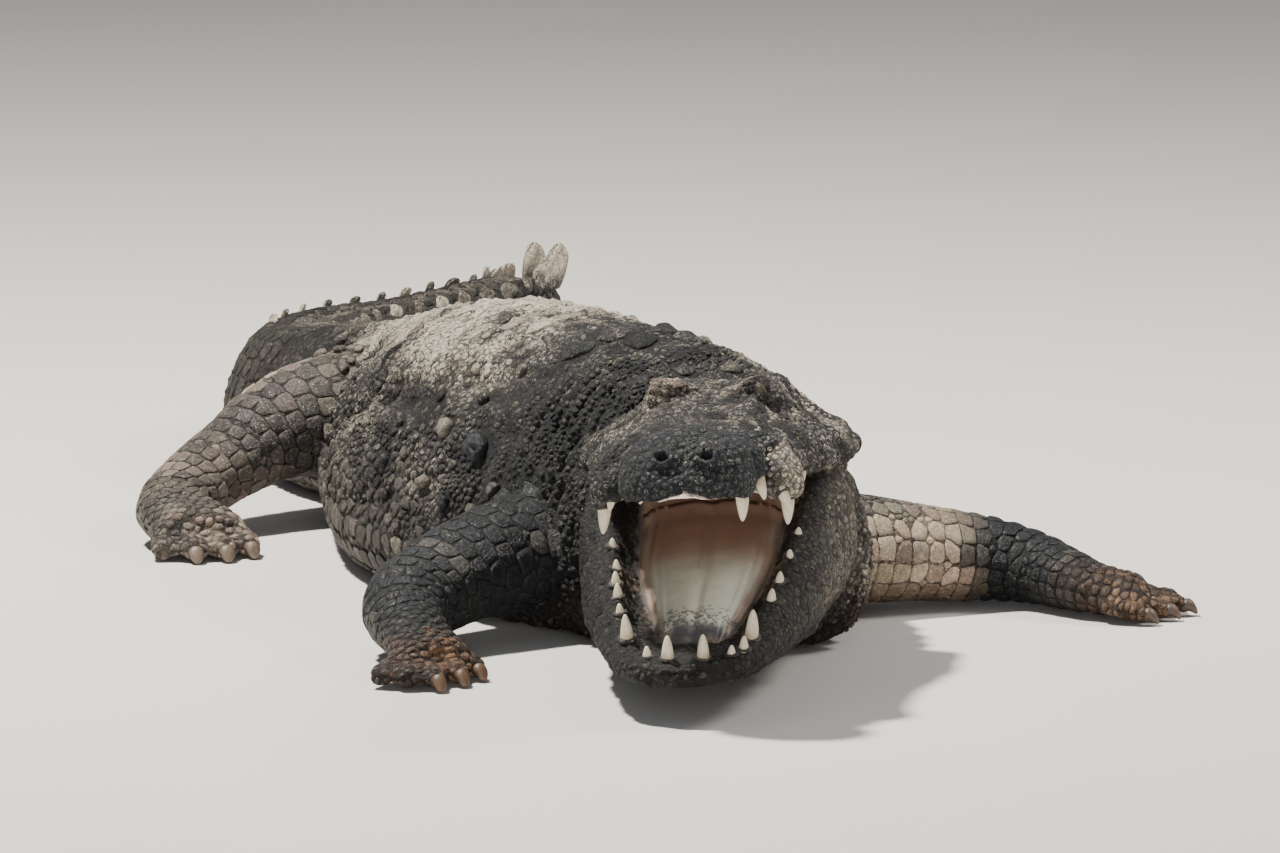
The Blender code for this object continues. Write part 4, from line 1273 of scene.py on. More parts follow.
def make_roots(mesh, seed, amount):
    """Every scale's root on the skin: its place, size, kind and the piece that it belongs to."""
    rng = np.random.default_rng(seed)
    forms, area = made["forms"], made["area"]
    tree = BVHTree.FromPolygons(made["points"].tolist(), [tuple(p.vertices) for p in mesh.polygons])
    made["tree"] = tree
    fixed = plate_roots(forms, rng)
    knobs = tubercle_roots(rng, forms[0])
    fixed = {field: np.concatenate([fixed[field], knobs[field]]) for field in fixed}
    before = fixed["place"]
    fixed["place"], fixed["normal"] = snapped(tree, before)
    moved = np.linalg.norm(fixed["place"] - before, axis=1)
    fixed = picked(fixed, (moved < SNAP_REACH) | is_knob(fixed))
    fixed = picked(fixed, ~on_mouth(fixed["place"]))

    size = pebble_size(area, made["points"])
    bare = area["mouth"] > 0.35
    weight = np.where(bare, 0.0, amount / (SCALE_AREA * size**2))
    places = scatter(rng, mesh, weight)
    read = made["lookup"].read(places)
    spot, normal = snapped(tree, places)
    spots = regions(spot, read)
    code = read["code"]
    piece = np.select(
        [code == HEAD, code == JAW, (code == BODY) & (spots["run"] < 0.42),
         (code == BODY) & (spots["run"] > TAIL_FROM), (code == BODY) & (spots["turn"] < 0.5), code == BODY],
        [PIECE["scales_head"], PIECE["scales_lower_jaw"], PIECE["scales_neck"], PIECE["plates_tail"],
         PIECE["scales_flank_left"], PIECE["scales_flank_right"]],
        default=-1,
    )
    for name in LEG_NAMES:
        piece = np.where((code == LEG_FORM[name]) | (code == TOE_FORM[name]), PIECE["plates_" + name], piece)
    size = pebble_size(spots, spot)
    face = (code == HEAD) | (code == JAW)
    saddle = saddle_share(spots)
    swell = np.where(code >= FIRST_LIMB, 0.22, 0.16 + 0.50 * ramp(value_noise(spot, 0.060, 55), 0.25, 0.75))
    swell = swell * (1 - 0.80 * saddle)
    loose = {
        "place": spot, "normal": normal, "ahead": read["heading"], "size": size,
        "height": np.where(code == HEAD, 0.0005, np.where(code == JAW, 0.0007, size * swell)),
        "gap": np.where(face, 0.00030, 0.0005), "dome": np.where(face, 0.10, 0.85 - 0.6 * saddle),
        "corner": np.where(face, 7.0, 6.0), "keel": np.zeros(len(size)), "piece": piece,
        "rough": np.where(face, 0.5, 0.25),
    }
    roots = {field: np.concatenate([fixed[field], loose[field]]) for field in loose}
    is_loose = np.concatenate([np.zeros(len(fixed["size"]), bool), np.ones(len(size), bool)])
    # Loose roots that crowd a plate go first; then the rest settle apart.
    roots["loose"] = is_loose
    knob = is_knob(roots) & ~is_loose
    priority = np.where(knob, 3.0, np.where(is_loose, 0.0, 2.0)) + roots["size"] * 5
    roots = thinned_loosely(roots, priority)
    angles = circle(SETTLING_DIRECTIONS)
    for _ in range(SETTLING_ROUNDS):
        make_frames(roots)
        near = near_lists(roots["place"], SETTLING_NEIGHBOURS)
        reach = reach_of_cells(roots, near, angles)
        u = (2 / 3) * (reach**3 * np.cos(angles)).sum(1) / (reach**2).sum(1)
        v = (2 / 3) * (reach**3 * np.sin(angles)).sum(1) / (reach**2).sum(1)
        shift = 0.85 * (roots["ahead"] * u[:, None] + np.cross(roots["normal"], roots["ahead"]) * v[:, None])
        free = np.where(roots["loose"])[0]
        roots["place"][free], roots["normal"][free] = snapped(tree, roots["place"][free] + shift[free])
    roots = picked(roots, ~on_mouth(roots["place"]))
    make_frames(roots)
    tail_end = (roots["piece"] == PIECE["plates_tail"]) & (roots["place"][:, 1] > TAIL_END_FROM)
    roots["piece"] = np.where(tail_end, PIECE["plates_tail_end"], roots["piece"])
    return roots


def thinned_loosely(roots, priority):
    """Thins plates and knobs among themselves, and drops loose roots inside a plate."""
    loose = roots["loose"]
    firm = thinned(picked(roots, ~loose), priority[~loose])
    tree = search_tree(firm["place"])
    rest = picked(roots, loose)
    keep = np.ones(len(rest["size"]), bool)
    for k, spot in enumerate(rest["place"].tolist()):
        for _, other, distance in tree.find_n(spot, 3):
            if distance < CLEAR_OF_PLATE * firm["size"][other] + CLEAR_OF_SELF * rest["size"][k]:
                keep[k] = False
                break
    rest = picked(rest, keep)
    return {field: np.concatenate([firm[field], rest[field]]) for field in rest}


def on_mouth(places):
    return regions(places, made["lookup"].read(places))["mouth"] > LINING_FROM


def make_frames(roots):
    """Squares each root's forward direction to its normal."""
    normal = unit(roots["normal"])
    ahead = roots["ahead"] - normal * (roots["ahead"] * normal).sum(1)[:, None]
    weak = np.linalg.norm(ahead, axis=1) < 1e-3
    ahead[weak] = np.cross(normal[weak], (0.0, 0.0, 1.0)) + 1e-4
    roots["normal"], roots["ahead"] = normal, unit(ahead)


# ---- colours of the hide -------------------------------------------------------------------

# Mean tone from which a colour counts as pale and isn't darkened.
PALE_TONE = 0.36
CHARCOAL = np.array([0.022, 0.026, 0.032])
SLATE = np.array([0.032, 0.044, 0.060])
STONE = np.array([0.140, 0.122, 0.098])
BONE = np.array([0.520, 0.450, 0.350])
BARK = np.array([0.085, 0.066, 0.052])
MUD = np.array([0.190, 0.105, 0.058])
CREAM = np.array([0.420, 0.440, 0.370])
PALE_BELLY = np.array([0.42, 0.36, 0.25])
BROW = np.array([0.42, 0.31, 0.235])
RUST = np.array([0.30, 0.17, 0.09])
OCHRE = np.array([0.20, 0.155, 0.085])
JAW_DARK = np.array([0.034, 0.035, 0.029])
BLUSH = np.array([0.280, 0.150, 0.098])
# Roof of the mouth: pale, and raised near to white as painted light bouncing into the mouth.
PALATE_AND_BOUNCED_LIGHT = np.array([0.950, 0.800, 0.660])


def darker(colour, share):
    return colour * (1 - share)[:, None]


def blend(base, other, share):
    """One colour turned into another by a share at each place."""
    share = np.clip(share, 0, 1)[:, None]
    return base * (1 - share) + other * share


def x_aside(points, name):
    """How far each place lies outwards of the middle of a foot."""
    side = -1.0 if name.endswith("right") else 1.0
    heading = math.radians(LEGS[name][4])
    offset = points[:, :2] - np.array(LEGS[name][3][:2])
    return side * (offset @ np.array([math.cos(heading), math.sin(heading)]))


def hide_colour(points, area):
    """The hide's colour at each place, with painted shade in its hollows and creases, then its crust and mud.
    """
    run, high, x, back, z = (area[key] for key in ("run", "high", "x", "back", "z"))
    code, body, head, jaw = area["code"], area["body"], area["head"], area["jaw"]
    broad = fractal_noise(points, 0.16, 61)
    fine = fractal_noise(points, 0.035, 71)
    colour = blend(CHARCOAL, STONE, 0.40 * ramp(fine, 0.50, 0.75) + 0.12 * broad)
    crust = 0.30 + 0.40 * (broad - 0.5)
    mud = np.zeros(len(points))
    # Trunk: stony lower flanks, a pale belly, and pale patches painted on top of the back.
    flank = body * ramp(high, 0.66, 0.46) * ramp(run, 0.30, 0.50)
    colour = blend(colour, STONE * 0.90, flank * (0.05 + 0.60 * broad))
    lower = body * ramp(high, 0.54, 0.44) * ramp(run, 0.34, 0.50)
    colour = blend(colour, BONE * 0.42, lower * (0.25 + 0.5 * broad))
    crust = crust - 0.26 * lower
    colour = blend(colour, PALE_BELLY, body * ramp(high, 0.30, 0.18) * 0.8)
    saddle = body * ramp(high, 0.66, 0.82) * ramp(run, 0.32, 0.50) * ramp(run, 1.30, 1.10)
    pale_patches = 0.45 + 0.55 * ramp(broad + 0.7 * (fine - 0.5), 0.34, 0.66)
    crust = crust + saddle * (0.28 + 0.80 * pale_patches)
    wisp = ridged(points, 0.017, 97, (1.0, 0.7, 1.0))
    colour = blend(colour, BONE * 1.15, saddle * (0.40 + 0.60 * pale_patches) * ramp(wisp, 0.44, 0.62) * 0.95)
    colour = darker(colour, 0.60 * saddle * ramp(wisp, 0.82, 0.92))
    # Hollows between wrinkles are painted dark as shade; their crests are worn pale.
    relief = 0.6 * ridged(points, 0.042, 33) + 0.4 * ridged(points, 0.018, 35, (1.0, 0.7, 1.0))
    worn = body * ramp(high, 0.42, 0.56)
    worn = worn * (1 - 0.45 * saddle)
    colour = darker(colour, 0.82 * worn * ramp(relief, 0.70, 0.46))
    crust = crust * (1 - 0.45 * worn * ramp(relief, 0.62, 0.44))
    crust = crust + 0.22 * worn * (ramp(relief, 0.52, 0.80) - 0.35)
    hip = round_hill(points[:, 0] + 0.20, points[:, 1] - 0.10, 0.10) * body
    colour = blend(colour, BONE * 0.60, hip * ramp(fine, 0.54, 0.66) * 0.3)
    crust = crust + 0.15 * hip
    # The hollows in the hips are painted nearly black as shade.
    for centre, radius, _ in (*HOLLOWS[:2], ((-0.181, 0.087, 0.264), 0.022, 0.0)):
        hip_hollow_shade = hill(away(points, centre), radius * 1.8)
        colour = blend(colour, CHARCOAL * 0.25, hip_hollow_shade)
        crust = crust * (1 - hip_hollow_shade)
    # Neck and throat: dark, brown with mud below.
    neck = body * ramp(run, 0.45, 0.30)
    colour = blend(colour, CHARCOAL * 1.05, neck * 0.75)
    crust = crust - 0.25 * neck * ramp(high, 0.85, 0.70)
    low = neck * ramp(points[:, 2], 0.10, 0.03) * (0.30 + 0.70 * ramp(fine, 0.42, 0.58))
    colour = blend(colour, MUD * np.array([0.50, 0.55, 0.62]), low)
    mud = np.maximum(mud, low * 0.45)
    left_neck = body * ramp(run, 0.60, 0.40) * ramp(area["turn"], 0.46, 0.40) * ramp(points[:, 2], 0.04, 0.10)
    colour = blend(colour, BONE * 0.75, left_neck * (0.25 + 0.75 * ramp(fine + 0.4 * broad, 0.50, 0.80)))
    crust = crust + 0.30 * left_neck
    # Tail: dark and smooth with dusty upper edges.
    tail = body * ramp(run, 1.15, 1.40)
    colour = blend(colour, STONE * 0.50, tail * 0.75)
    crust = crust * (1 - 0.75 * tail) + tail * (0.12 + 0.24 * ramp(high, 0.84, 0.95))
    # Head and lower jaw.
    snout = blend(SLATE, STONE * 0.75, ramp(back, 0.11, 0.22) * 0.40 + 0.22 * fine)
    colour[head] = snout[head]
    # The valleys of the creases and wrinkles on the head are painted dark as shade.
    creases = ridged(points, 0.021, 19, (1.0, 0.6, 1.2))
    hard = head * ramp(back, 0.09, 0.13)
    colour = darker(colour, 0.85 * hard * ramp(creases, 0.66, 0.44))
    wrinkles = ridged(points, 0.0115, 23, (1.0, 0.7, 1.3))
    colour = darker(colour, 0.60 * head * ramp(wrinkles, 0.62, 0.42))
    scraped = hard * ramp(fractal_noise(points, 0.028, 101, 2), 0.56, 0.68) * ramp(creases, 0.50, 0.70)
    slope = np.clip(0.35 + 0.45 * ramp(x, 0.0, 0.08) + 0.40 * ramp(back, 0.34, 0.40), 0, 1)
    colour = blend(colour, BONE * 0.85, scraped * slope)
    lobe = head * ramp(x, 0.055, 0.075) * ramp(back - 0.55 * z, 0.098, 0.108) * ramp(back, 0.24, 0.18)
    lobe = lobe * ramp(z, 0.066, 0.045)
    colour = blend(colour, BONE * 0.95, lobe * (0.40 + 0.60 * ramp(fine, 0.35, 0.60)))
    block = nose_block(area)
    colour = blend(colour, SLATE * (0.75 + 0.5 * broad[:, None]), block * 0.9)
    edge = head * ramp(x, 0.11, 0.15) * ramp(back, 0.30, 0.40) * ramp(z, 0.02, 0.05)
    colour = blend(colour, BONE * 0.85, edge * ramp(fine, 0.50, 0.62) * 0.8)
    brows = head * round_hill(np.abs(x) - 0.056, back - 0.350, 0.034)
    lumpy = (0.35 + 0.6 * ramp(fine, 0.40, 0.62)) * (0.45 + 0.55 * (x < 0))
    colour = blend(colour, BROW, brows * lumpy)
    head_crust = 0.32 + 0.12 * ramp(back, 0.22, 0.36) + 0.6 * (broad - 0.5) + 0.10 * edge - 0.02 * block
    head_crust = head_crust + 0.30 * (ramp(creases, 0.50, 0.80) - 0.4) * hard
    crust = np.where(head, head_crust, crust)
    # A dark fold of skin hangs beside the snout at the right corner of the mouth.
    corner = (head | jaw) * ramp(-x, 0.118, 0.135) * ramp(back, 0.16, 0.22)
    colour = blend(colour, CHARCOAL * 0.7, corner * 0.75)
    colour = blend(colour, RUST, corner * ramp(fine, 0.56, 0.66) * 0.7)
    # Hollows by the left eye and brow are painted nearly black as shade.
    hollow = head * round_hill(x - 0.082, back - 0.345, 0.015)
    hollow = np.maximum(hollow, head * round_hill(x - 0.056, back - 0.316, 0.011) * 0.8)
    colour = blend(colour, CHARCOAL * 0.45, hollow)
    crust = crust * (1 - 0.8 * hollow)
    colour[jaw] = blend(JAW_DARK, STONE * 0.6, (0.12 + 0.22 * (x > 0)) * fine)[jaw]
    side = jaw * ramp(x, 0.02, 0.12) * ramp(back, 0.02, 0.20)
    colour = blend(colour, STONE * 0.95, side * (0.10 + 0.6 * fine))
    rim = jaw * ramp(x, 0.125, 0.160) * ramp(back, 0.14, 0.30)
    colour = blend(colour, BONE * 0.70, rim * (0.3 + 0.7 * fine))
    crust = np.where(jaw, 0.06 + 0.22 * ramp(x, 0.02, 0.12) + 0.25 * (broad - 0.5), crust)
    inner = jaw * ramp(area["across"], 0.74, 0.66) * ramp(area["level"], 0.25, 0.40)
    ochre = inner * ramp(fine, 0.46, 0.60) * ramp(back, 0.12, 0.20)
    colour = blend(colour, OCHRE, ochre * 0.8)
    chin = jaw * ramp(area["level"], 0.30, 0.0)
    colour = blend(colour, STONE, chin * 0.25)
    # The valleys of the wrinkles on the lower jaw are painted dark as shade.
    colour = darker(colour, 0.60 * jaw * ramp(wrinkles, 0.62, 0.42))
    # Limbs.
    for name in LEG_NAMES:
        toe = code == TOE_FORM[name]
        leg = (code == LEG_FORM[name]) | toe
        ball = np.array(LEGS[name][3])
        hand = hill(away(points, ball), 0.085)
        if name.startswith("hind"):
            own = blend(BARK * 1.7, BARK * 4.6, ramp(fine, 0.45, 0.66))
            own = blend(own, CHARCOAL * 1.3, ramp(broad, 0.50, 0.75) * 0.6)
            crust = np.where(leg, 0.36, crust)
        elif name == "fore_right":
            own = blend(CHARCOAL * 0.75, SLATE * 0.85, fine * 0.6)
            own = blend(own, MUD, hand * 0.80 * ramp(points[:, 2], 0.066, 0.042))
            crust = np.where(leg, 0.16, crust)
        else:
            # The left fore leg is painted pale on its upper arm down to a sharp edge, and dark below it.
            reach = away(points, LEGS[name][1])
            upper = ramp(points[:, 0] + 0.07 * (fine - 0.5), 0.43, 0.36)
            pale = upper * (0.50 + 0.50 * ramp(fine, 0.35, 0.55)) * ramp(points[:, 2], 0.150, 0.110)
            own = blend(CHARCOAL * 0.9, BONE * np.array([1.15, 1.02, 0.92]), pale)
            own = blend(own, MUD * 0.52, ramp(reach + 0.06 * (fine - 0.5), 0.12, 0.18) * (1 - upper) * 0.85)
            own = blend(own, MUD * 1.1, upper * ramp(points[:, 2], 0.05, 0.015))
            crust = np.where(leg, 0.10 + 0.34 * upper, crust)
        colour = np.where(leg[:, None], own, colour)
        tip = hill(away(points[:, :2], ball[:2]), 0.14)
        fore = name.startswith("fore")
        inner = ramp(x_aside(points, name), 0.030, 0.0)
        colour = blend(colour, MUD * 1.25, toe * tip * inner * (0.80 if fore else 0.10))
        mud = np.maximum(mud, leg * hand * inner * (0.60 if fore else 0.10))
    for place, radius, paleness in KNOBS:
        near = np.exp(-(away(points, place) / (radius * 1.25)) ** 4)
        colour = blend(colour, CHARCOAL * 0.9 + (BONE * 0.62 - CHARCOAL * 0.9) * paleness, near)
        crust = crust * (1 - near * (1 - paleness))
    mud = np.maximum(mud, ramp(points[:, 2], 0.05, 0.0) * 0.40)
    # Dark hide is nearly black; the pale parts keep their tone.
    colour = colour * np.clip((colour.mean(axis=1, keepdims=True) / PALE_TONE) ** 0.40, 0.26, 1.0)
    return colour, np.clip(crust - 0.05, 0, 1), np.clip(mud, 0, 1)


def lining_colour(points, area):
    """The mouth's lining: cream in the middle, brown in the throat, pink walls and dark gums."""
    fine = fractal_noise(points, 0.02, 81)
    back, across = area["back"], area["across"]
    floor = area["palate"] < 0.35
    colour = mouth_colour(back, across - cream_share(back), fine)
    # The roof is painted near white, partly as painted light in the mouth.
    roof = blend(PALATE_AND_BOUNCED_LIGHT, BLUSH, ramp(back, 0.24, 0.38) * 0.80)
    return np.where(floor[:, None], colour, roof) * (0.85 + 0.3 * fine)[:, None]


def mouth_colour(back, beyond, fine):
    """Colours of the mouth's floor, by how far back and how far outside the cream a place is."""
    colour = blend(CREAM, BLUSH * 0.62, ramp(back, 0.235, 0.34) * 0.94)
    rose = blend(BLUSH * 0.9, CREAM * 0.7, 0.6 * fine)
    colour = blend(colour, rose, ramp(beyond, 0.00, 0.05) * 0.9)
    dark = blend(CHARCOAL * 1.6, STONE * 0.9, ramp(fine, 0.45, 0.62))
    colour = blend(colour, dark, ramp(beyond + 0.06 * (fine - 0.5), 0.06, 0.11))
    return blend(colour, dark, ramp(back + 0.03 * (fine - 0.5), 0.142, 0.122))


# ---- the scales ----------------------------------------------------------------------------

PLATE_RINGS = ((1.00, -0.0014, 0.0), (0.980, 0.50, 0.15), (0.91, 0.92, 0.55), (0.55, 1.00, 1.0))
PEBBLE_RINGS = ((1.00, -0.0011, 0.0), (0.80, 0.72, 0.65))
PLATE_SIDES = 20
PEBBLE_SIDES = 9
# Half the size of a scale's own patch in the unwrap, and how thick a scale is below the skin.
PATCH = 0.0015
SCALE_UNDER = 0.0016


def atlas_place(area):
    """Where each place lies on an unwrap of the skin, form by form, inside the unit square."""
    code, run, turn = area["code"], area["run"], area["turn"]
    u, v = np.empty(len(code)), np.empty(len(code))
    rows = {
        BODY: (0.01, 0.98, 0.01, 0.42, 3.3),
        HEAD: (0.01, 0.22, 0.45, 0.25, 0.6),
        JAW: (0.25, 0.22, 0.45, 0.25, 0.6),
    }
    for k, name in enumerate(LEG_NAMES):
        rows[LEG_FORM[name]] = (0.01 + 0.245 * k, 0.20, 0.72, 0.13, 0.62)
        rows[TOE_FORM[name]] = (0.01 + 0.245 * k, 0.23, 0.87, 0.12, 6.2)
    for key, (left, wide, low, tall, length) in rows.items():
        mask = code == key
        u[mask] = left + wide * np.clip(run[mask] / length, 0, 1)
        v[mask] = low + tall * turn[mask]
    return np.column_stack([u, v])


def scale_angles(sides, is_plate):
    """Directions of a scale's corners; plates have a side, not a corner, ahead."""
    return circle(sides) + (math.pi / sides if is_plate else 0.0)


def scale_points(roots, angles, rings, tree, rng, settings):
    """Points of each solid scale, ring by ring, and the direction of each of its corners."""
    count, sides = len(roots["size"]), len(angles)
    place, normal, ahead = roots["place"], roots["normal"], roots["ahead"]
    aside = np.cross(normal, ahead)
    cos, sin = np.cos(angles)[None, :, None], np.sin(angles)[None, :, None]
    direction = ahead[:, None] * cos + aside[:, None] * sin
    reach = np.maximum(
        roots["reach"] - roots["gap"][:, None] * settings.crease, roots["size"][:, None] * 0.25)
    reach = reach * (1 + roots["rough"][:, None] * 0.10 * (rng.random(reach.shape) - 0.5))
    fullness = np.clip(reach.min(axis=1) / (0.55 * roots["size"]), 0.35, 1.0)
    height = roots["height"] * settings.relief * fullness
    outer, outer_normal = snapped(tree, (place[:, None] + direction * reach[..., None]).reshape(-1, 3))
    outer = outer.reshape(count, sides, 3)
    outer_normal = unit(outer_normal.reshape(count, sides, 3) + normal[:, None])
    middle, _ = snapped(tree, place)
    points = []
    for share, level, inward in rings:
        spot = middle[:, None] * (1 - share) + outer * share
        if level < 0:
            lift = np.full((count, sides), level)
        else:
            slope = np.where(roots["dome"] > 0.5, level * 0.85, level)
            across = np.abs(np.sin(angles))[None] * reach * share
            keel = roots["keel"][:, None] * np.exp(-(across / (0.22 * roots["size"][:, None])) ** 2)
            back_rise = 0.55 + 0.45 * (np.cos(angles)[None] * share)
            lift = (height * slope)[:, None] * np.ones(sides) + keel * back_rise * inward
            rough = fractal_noise(spot.reshape(-1, 3), 0.012, 91, 2).reshape(count, sides) - 0.5
            lift = lift + rough * (roots["rough"] * roots["height"] * 1.6)[:, None] * inward
        points.append(spot + (outer_normal * share + normal[:, None] * (1 - share)) * lift[..., None])
    top = middle + normal * (height + roots["keel"] * 0.9 + 0.10 * roots["dome"] * roots["height"])[:, None]
    under = middle - normal * SCALE_UNDER
    return np.concatenate([*points, top[:, None], under[:, None]], axis=1), direction


def scale_faces(sides, ring_count):
    """Triangles of one solid scale: its rings, then its top and its underside."""
    k = np.arange(sides)
    following = (k + 1) % sides
    faces = []
    for ring in range(ring_count - 1):
        a, b = ring * sides + k, ring * sides + following
        c, d = b + sides, a + sides
        faces += [np.column_stack([a, b, c]), np.column_stack([a, c, d])]
    last, top = (ring_count - 1) * sides, ring_count * sides
    faces.append(np.column_stack([last + k, last + following, np.full(sides, top)]))
    faces.append(np.column_stack([following, k, np.full(sides, top + 1)]))
    return np.concatenate(faces)


def scale_colours(roots, area, direction, rings, rng, is_plate):
    """Colours and marks: one tone to a scale, a root painted dark as shade, and a rim pale with dust and with
    painted light from above.
    """
    count, sides = direction.shape[:2]
    per = len(rings) * sides + 2
    place = roots["place"]
    tint, crust, mud = hide_colour(place, area)
    piece = roots["piece"]
    face = np.isin(piece, (PIECE["scales_head"], PIECE["scales_lower_jaw"]))
    limb = piece >= PIECE["plates_fore_right"]
    spread_of_tone = np.where(limb, 0.20, np.where(face, 0.34, 0.42 if is_plate else 0.34))
    shade = np.exp(rng.normal(0, 1.0, count) * spread_of_tone)
    warmth = 1 + rng.normal(0, 0.035, (count, 3))
    patch = ramp(fractal_noise(place, 0.045, 93, 2), 0.44, 0.62)
    pale = np.clip(crust - 0.30, 0, 1) * 1.1 * patch + (rng.random(count) < 0.05) * 0.25
    pale = pale * np.where(face | limb, 0.4, 0.8)
    tone = blend(tint * shade[:, None] * warmth, BONE, pale * rng.uniform(0.6, 1.0, count))
    saddle = saddle_share(area) * (not is_plate)
    # The root ring shows in the seams between scales and is painted dark there as shade.
    seam = tone * np.where(face, 0.30, 0.16 + 0.10 * saddle)[:, None]
    # Dust lies on the upper rim of each scale; this paler upper rim is also a painted highlight from above.
    upper = ramp(direction[..., 2] + 0.25 * (rng.random((count, sides)) - 0.5), -0.15, 0.55)
    dust_and_top_light = np.clip(crust * 1.1, 0, 1)[:, None] * (0.18 + 0.82 * upper) * rng.uniform(0.2, 1.0, (count, 1))
    dust_and_top_light = dust_and_top_light * np.where(face, 0.30, 0.80 - 0.45 * saddle)[:, None]
    colours = np.empty((count, per, 3))
    for ring, (_, level, inward) in enumerate(rings):
        own = slice(ring * sides, (ring + 1) * sides)
        if level < 0:
            colours[:, own] = seam[:, None]
            continue
        amount = (0.85 if inward < 0.3 else 0.40 if inward < 0.7 else 0.0) * dust_and_top_light[..., None]
        base = tone[:, None] * (0.80 if inward < 0.3 else 1.0)
        colours[:, own] = base * (1 - amount) + BONE * amount
    colours[:, per - 2] = tone * 1.04
    # The point under each scale is painted dark as shade.
    colours[:, per - 1] = tone * 0.2
    marks = np.empty((count, per, 4))
    marks[..., 0] = crust[:, None]
    nose = nose_block(area)
    polish = np.where(face, 0.10 + 0.25 * nose, 0.20 * (not is_plate))
    polish = np.where(limb | is_knob(roots), 0.85, polish)
    marks[..., 1] = polish[:, None]
    marks[..., 2] = mud[:, None]
    marks[..., 3] = 1.0
    return colours, marks


def scale_meshes(roots, area, sides, rings, tree, rng, settings, is_plate):
    """Solid scales of one kind: points, faces, patch places, colours and marks, scale by scale."""
    angles = scale_angles(sides, is_plate)
    block, direction = scale_points(roots, angles, rings, tree, rng, settings)
    count, per = block.shape[:2]
    faces = scale_faces(sides, len(rings))
    triangles = (faces[None] + (np.arange(count) * per)[:, None, None]).reshape(-1, 3)
    spread = np.zeros((per, 2))
    for ring, (share, _, _) in enumerate(rings):
        spread[ring * sides:(ring + 1) * sides] = np.column_stack([np.cos(angles), np.sin(angles)]) * share
    uv = atlas_place(area)[:, None] + spread[None] * PATCH
    colours, marks = scale_colours(roots, area, direction, rings, rng, is_plate)
    block = block.reshape(-1, 3)
    block[:, 2] = np.maximum(block[:, 2], 0.0005)
    return block, triangles, uv.reshape(-1, 2), colours.reshape(-1, 3), marks.reshape(-1, 4)


def make_scales(settings, finish):
    """Every scale of the hide as solid mesh, in one piece for each region."""
    rng = np.random.default_rng(settings.seed + 1)
    roots = made["roots"]
    near = near_lists(roots["place"], FINAL_NEIGHBOURS)
    read = made["lookup"].read(roots["place"])
    area = regions(roots["place"], read)
    is_plate = (roots["corner"] > 6.5) & (roots["size"] > 0.0075) | (roots["keel"] > 0)
    is_plate = is_plate | is_knob(roots) | (roots["size"] > 0.0083)
    results = {name: [] for name in PIECES}
    for kind, sides, rings in ((True, PLATE_SIDES, PLATE_RINGS), (False, PEBBLE_SIDES, PEBBLE_RINGS)):
        reach = reach_of_cells(roots, near, scale_angles(sides, kind))
        for number, name in enumerate(PIECES):
            pick = np.where((is_plate == kind) & (roots["piece"] == number))[0]
            if not len(pick):
                continue
            own = {**picked(roots, pick), "reach": reach[pick]}
            results[name].append(
                scale_meshes(own, picked(area, pick), sides, rings, made["tree"], rng, settings, kind))
    for name, parts in results.items():
        if not parts:
            continue
        points, triangles, uv, colours, marks = joined(parts)
        mesh = triangle_mesh(name, points, triangles)
        paint(mesh, colours, marks)
        layer = mesh.uv_layers.new(name="OFBake")
        corner = read_values(mesh.loops, "vertex_index")
        layer.data.foreach_set("uv", np.ascontiguousarray(uv[corner], np.float32).ravel())
        piece = new_object(name, mesh, finish)
        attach(piece, "root")
        print(f"{name}: {len(triangles)} triangles")


# ---- finishes ------------------------------------------------------------------------------

class Signal:
    """A value in a shader tree; sums, differences and products of signals add their own nodes."""

    def __init__(self, tree, socket):
        self.tree, self.socket = tree, socket

    def math(self, operation, a, b):
        node = add(self.tree, "ShaderNodeMath", {0: a, 1: b}, operation=operation)
        return Signal(self.tree, node.outputs[0])

    def __add__(self, other):
        return self.math("ADD", self, other)

    def __radd__(self, other):
        return self.math("ADD", other, self)

    def __sub__(self, other):
        return self.math("SUBTRACT", self, other)

    def __rsub__(self, other):
        return self.math("SUBTRACT", other, self)

    def __mul__(self, other):
        return self.math("MULTIPLY", self, other)

    def __truediv__(self, other):
        return self.math("DIVIDE", self, other)

    def __abs__(self):
        return self.math("ABSOLUTE", self, 0.0)

    def at_least(self, other):
        return self.math("MAXIMUM", self, other)

    def clamped(self):
        """Keeps the last sum or product between 0 and 1."""
        self.socket.node.use_clamp = True
        return self


def feed(tree, socket, source):
    """Gives a socket a constant, or links another node's output to it."""
    if isinstance(source, Signal):
        source = source.socket
    if isinstance(source, bpy.types.NodeSocket):
        tree.links.new(source, socket)
    else:
        socket.default_value = source


def add(tree, kind, inputs=None, **settings):
    node = tree.nodes.new(kind)
    for key, value in settings.items():
        setattr(node, key, value)
    for key, source in (inputs or {}).items():
        feed(tree, node.inputs[key], source)
    return node


def step_between(tree, value, low, high):
    node = add(tree, "ShaderNodeMapRange", {"Value": value, "From Min": low, "From Max": high},
               interpolation_type="SMOOTHSTEP")
    return Signal(tree, node.outputs["Result"])


def mixed(tree, share, a, b, blend_type="MIX"):
    node = add(tree, "ShaderNodeMix", data_type="RGBA", blend_type=blend_type)
    for number, source in ((0, share), (6, a), (7, b)):
        feed(tree, node.inputs[number], source)
    return node.outputs[2]


def place_of(tree):
    return add(tree, "ShaderNodeTexCoord").outputs["Object"]


def noise(tree, place, scale, detail=3.0, roughness=0.6, distortion=0.0):
    return Signal(tree, add(tree, "ShaderNodeTexNoise", {
        "Vector": place, "Scale": scale, "Detail": detail, "Roughness": roughness, "Distortion": distortion,
    }).outputs["Fac"])


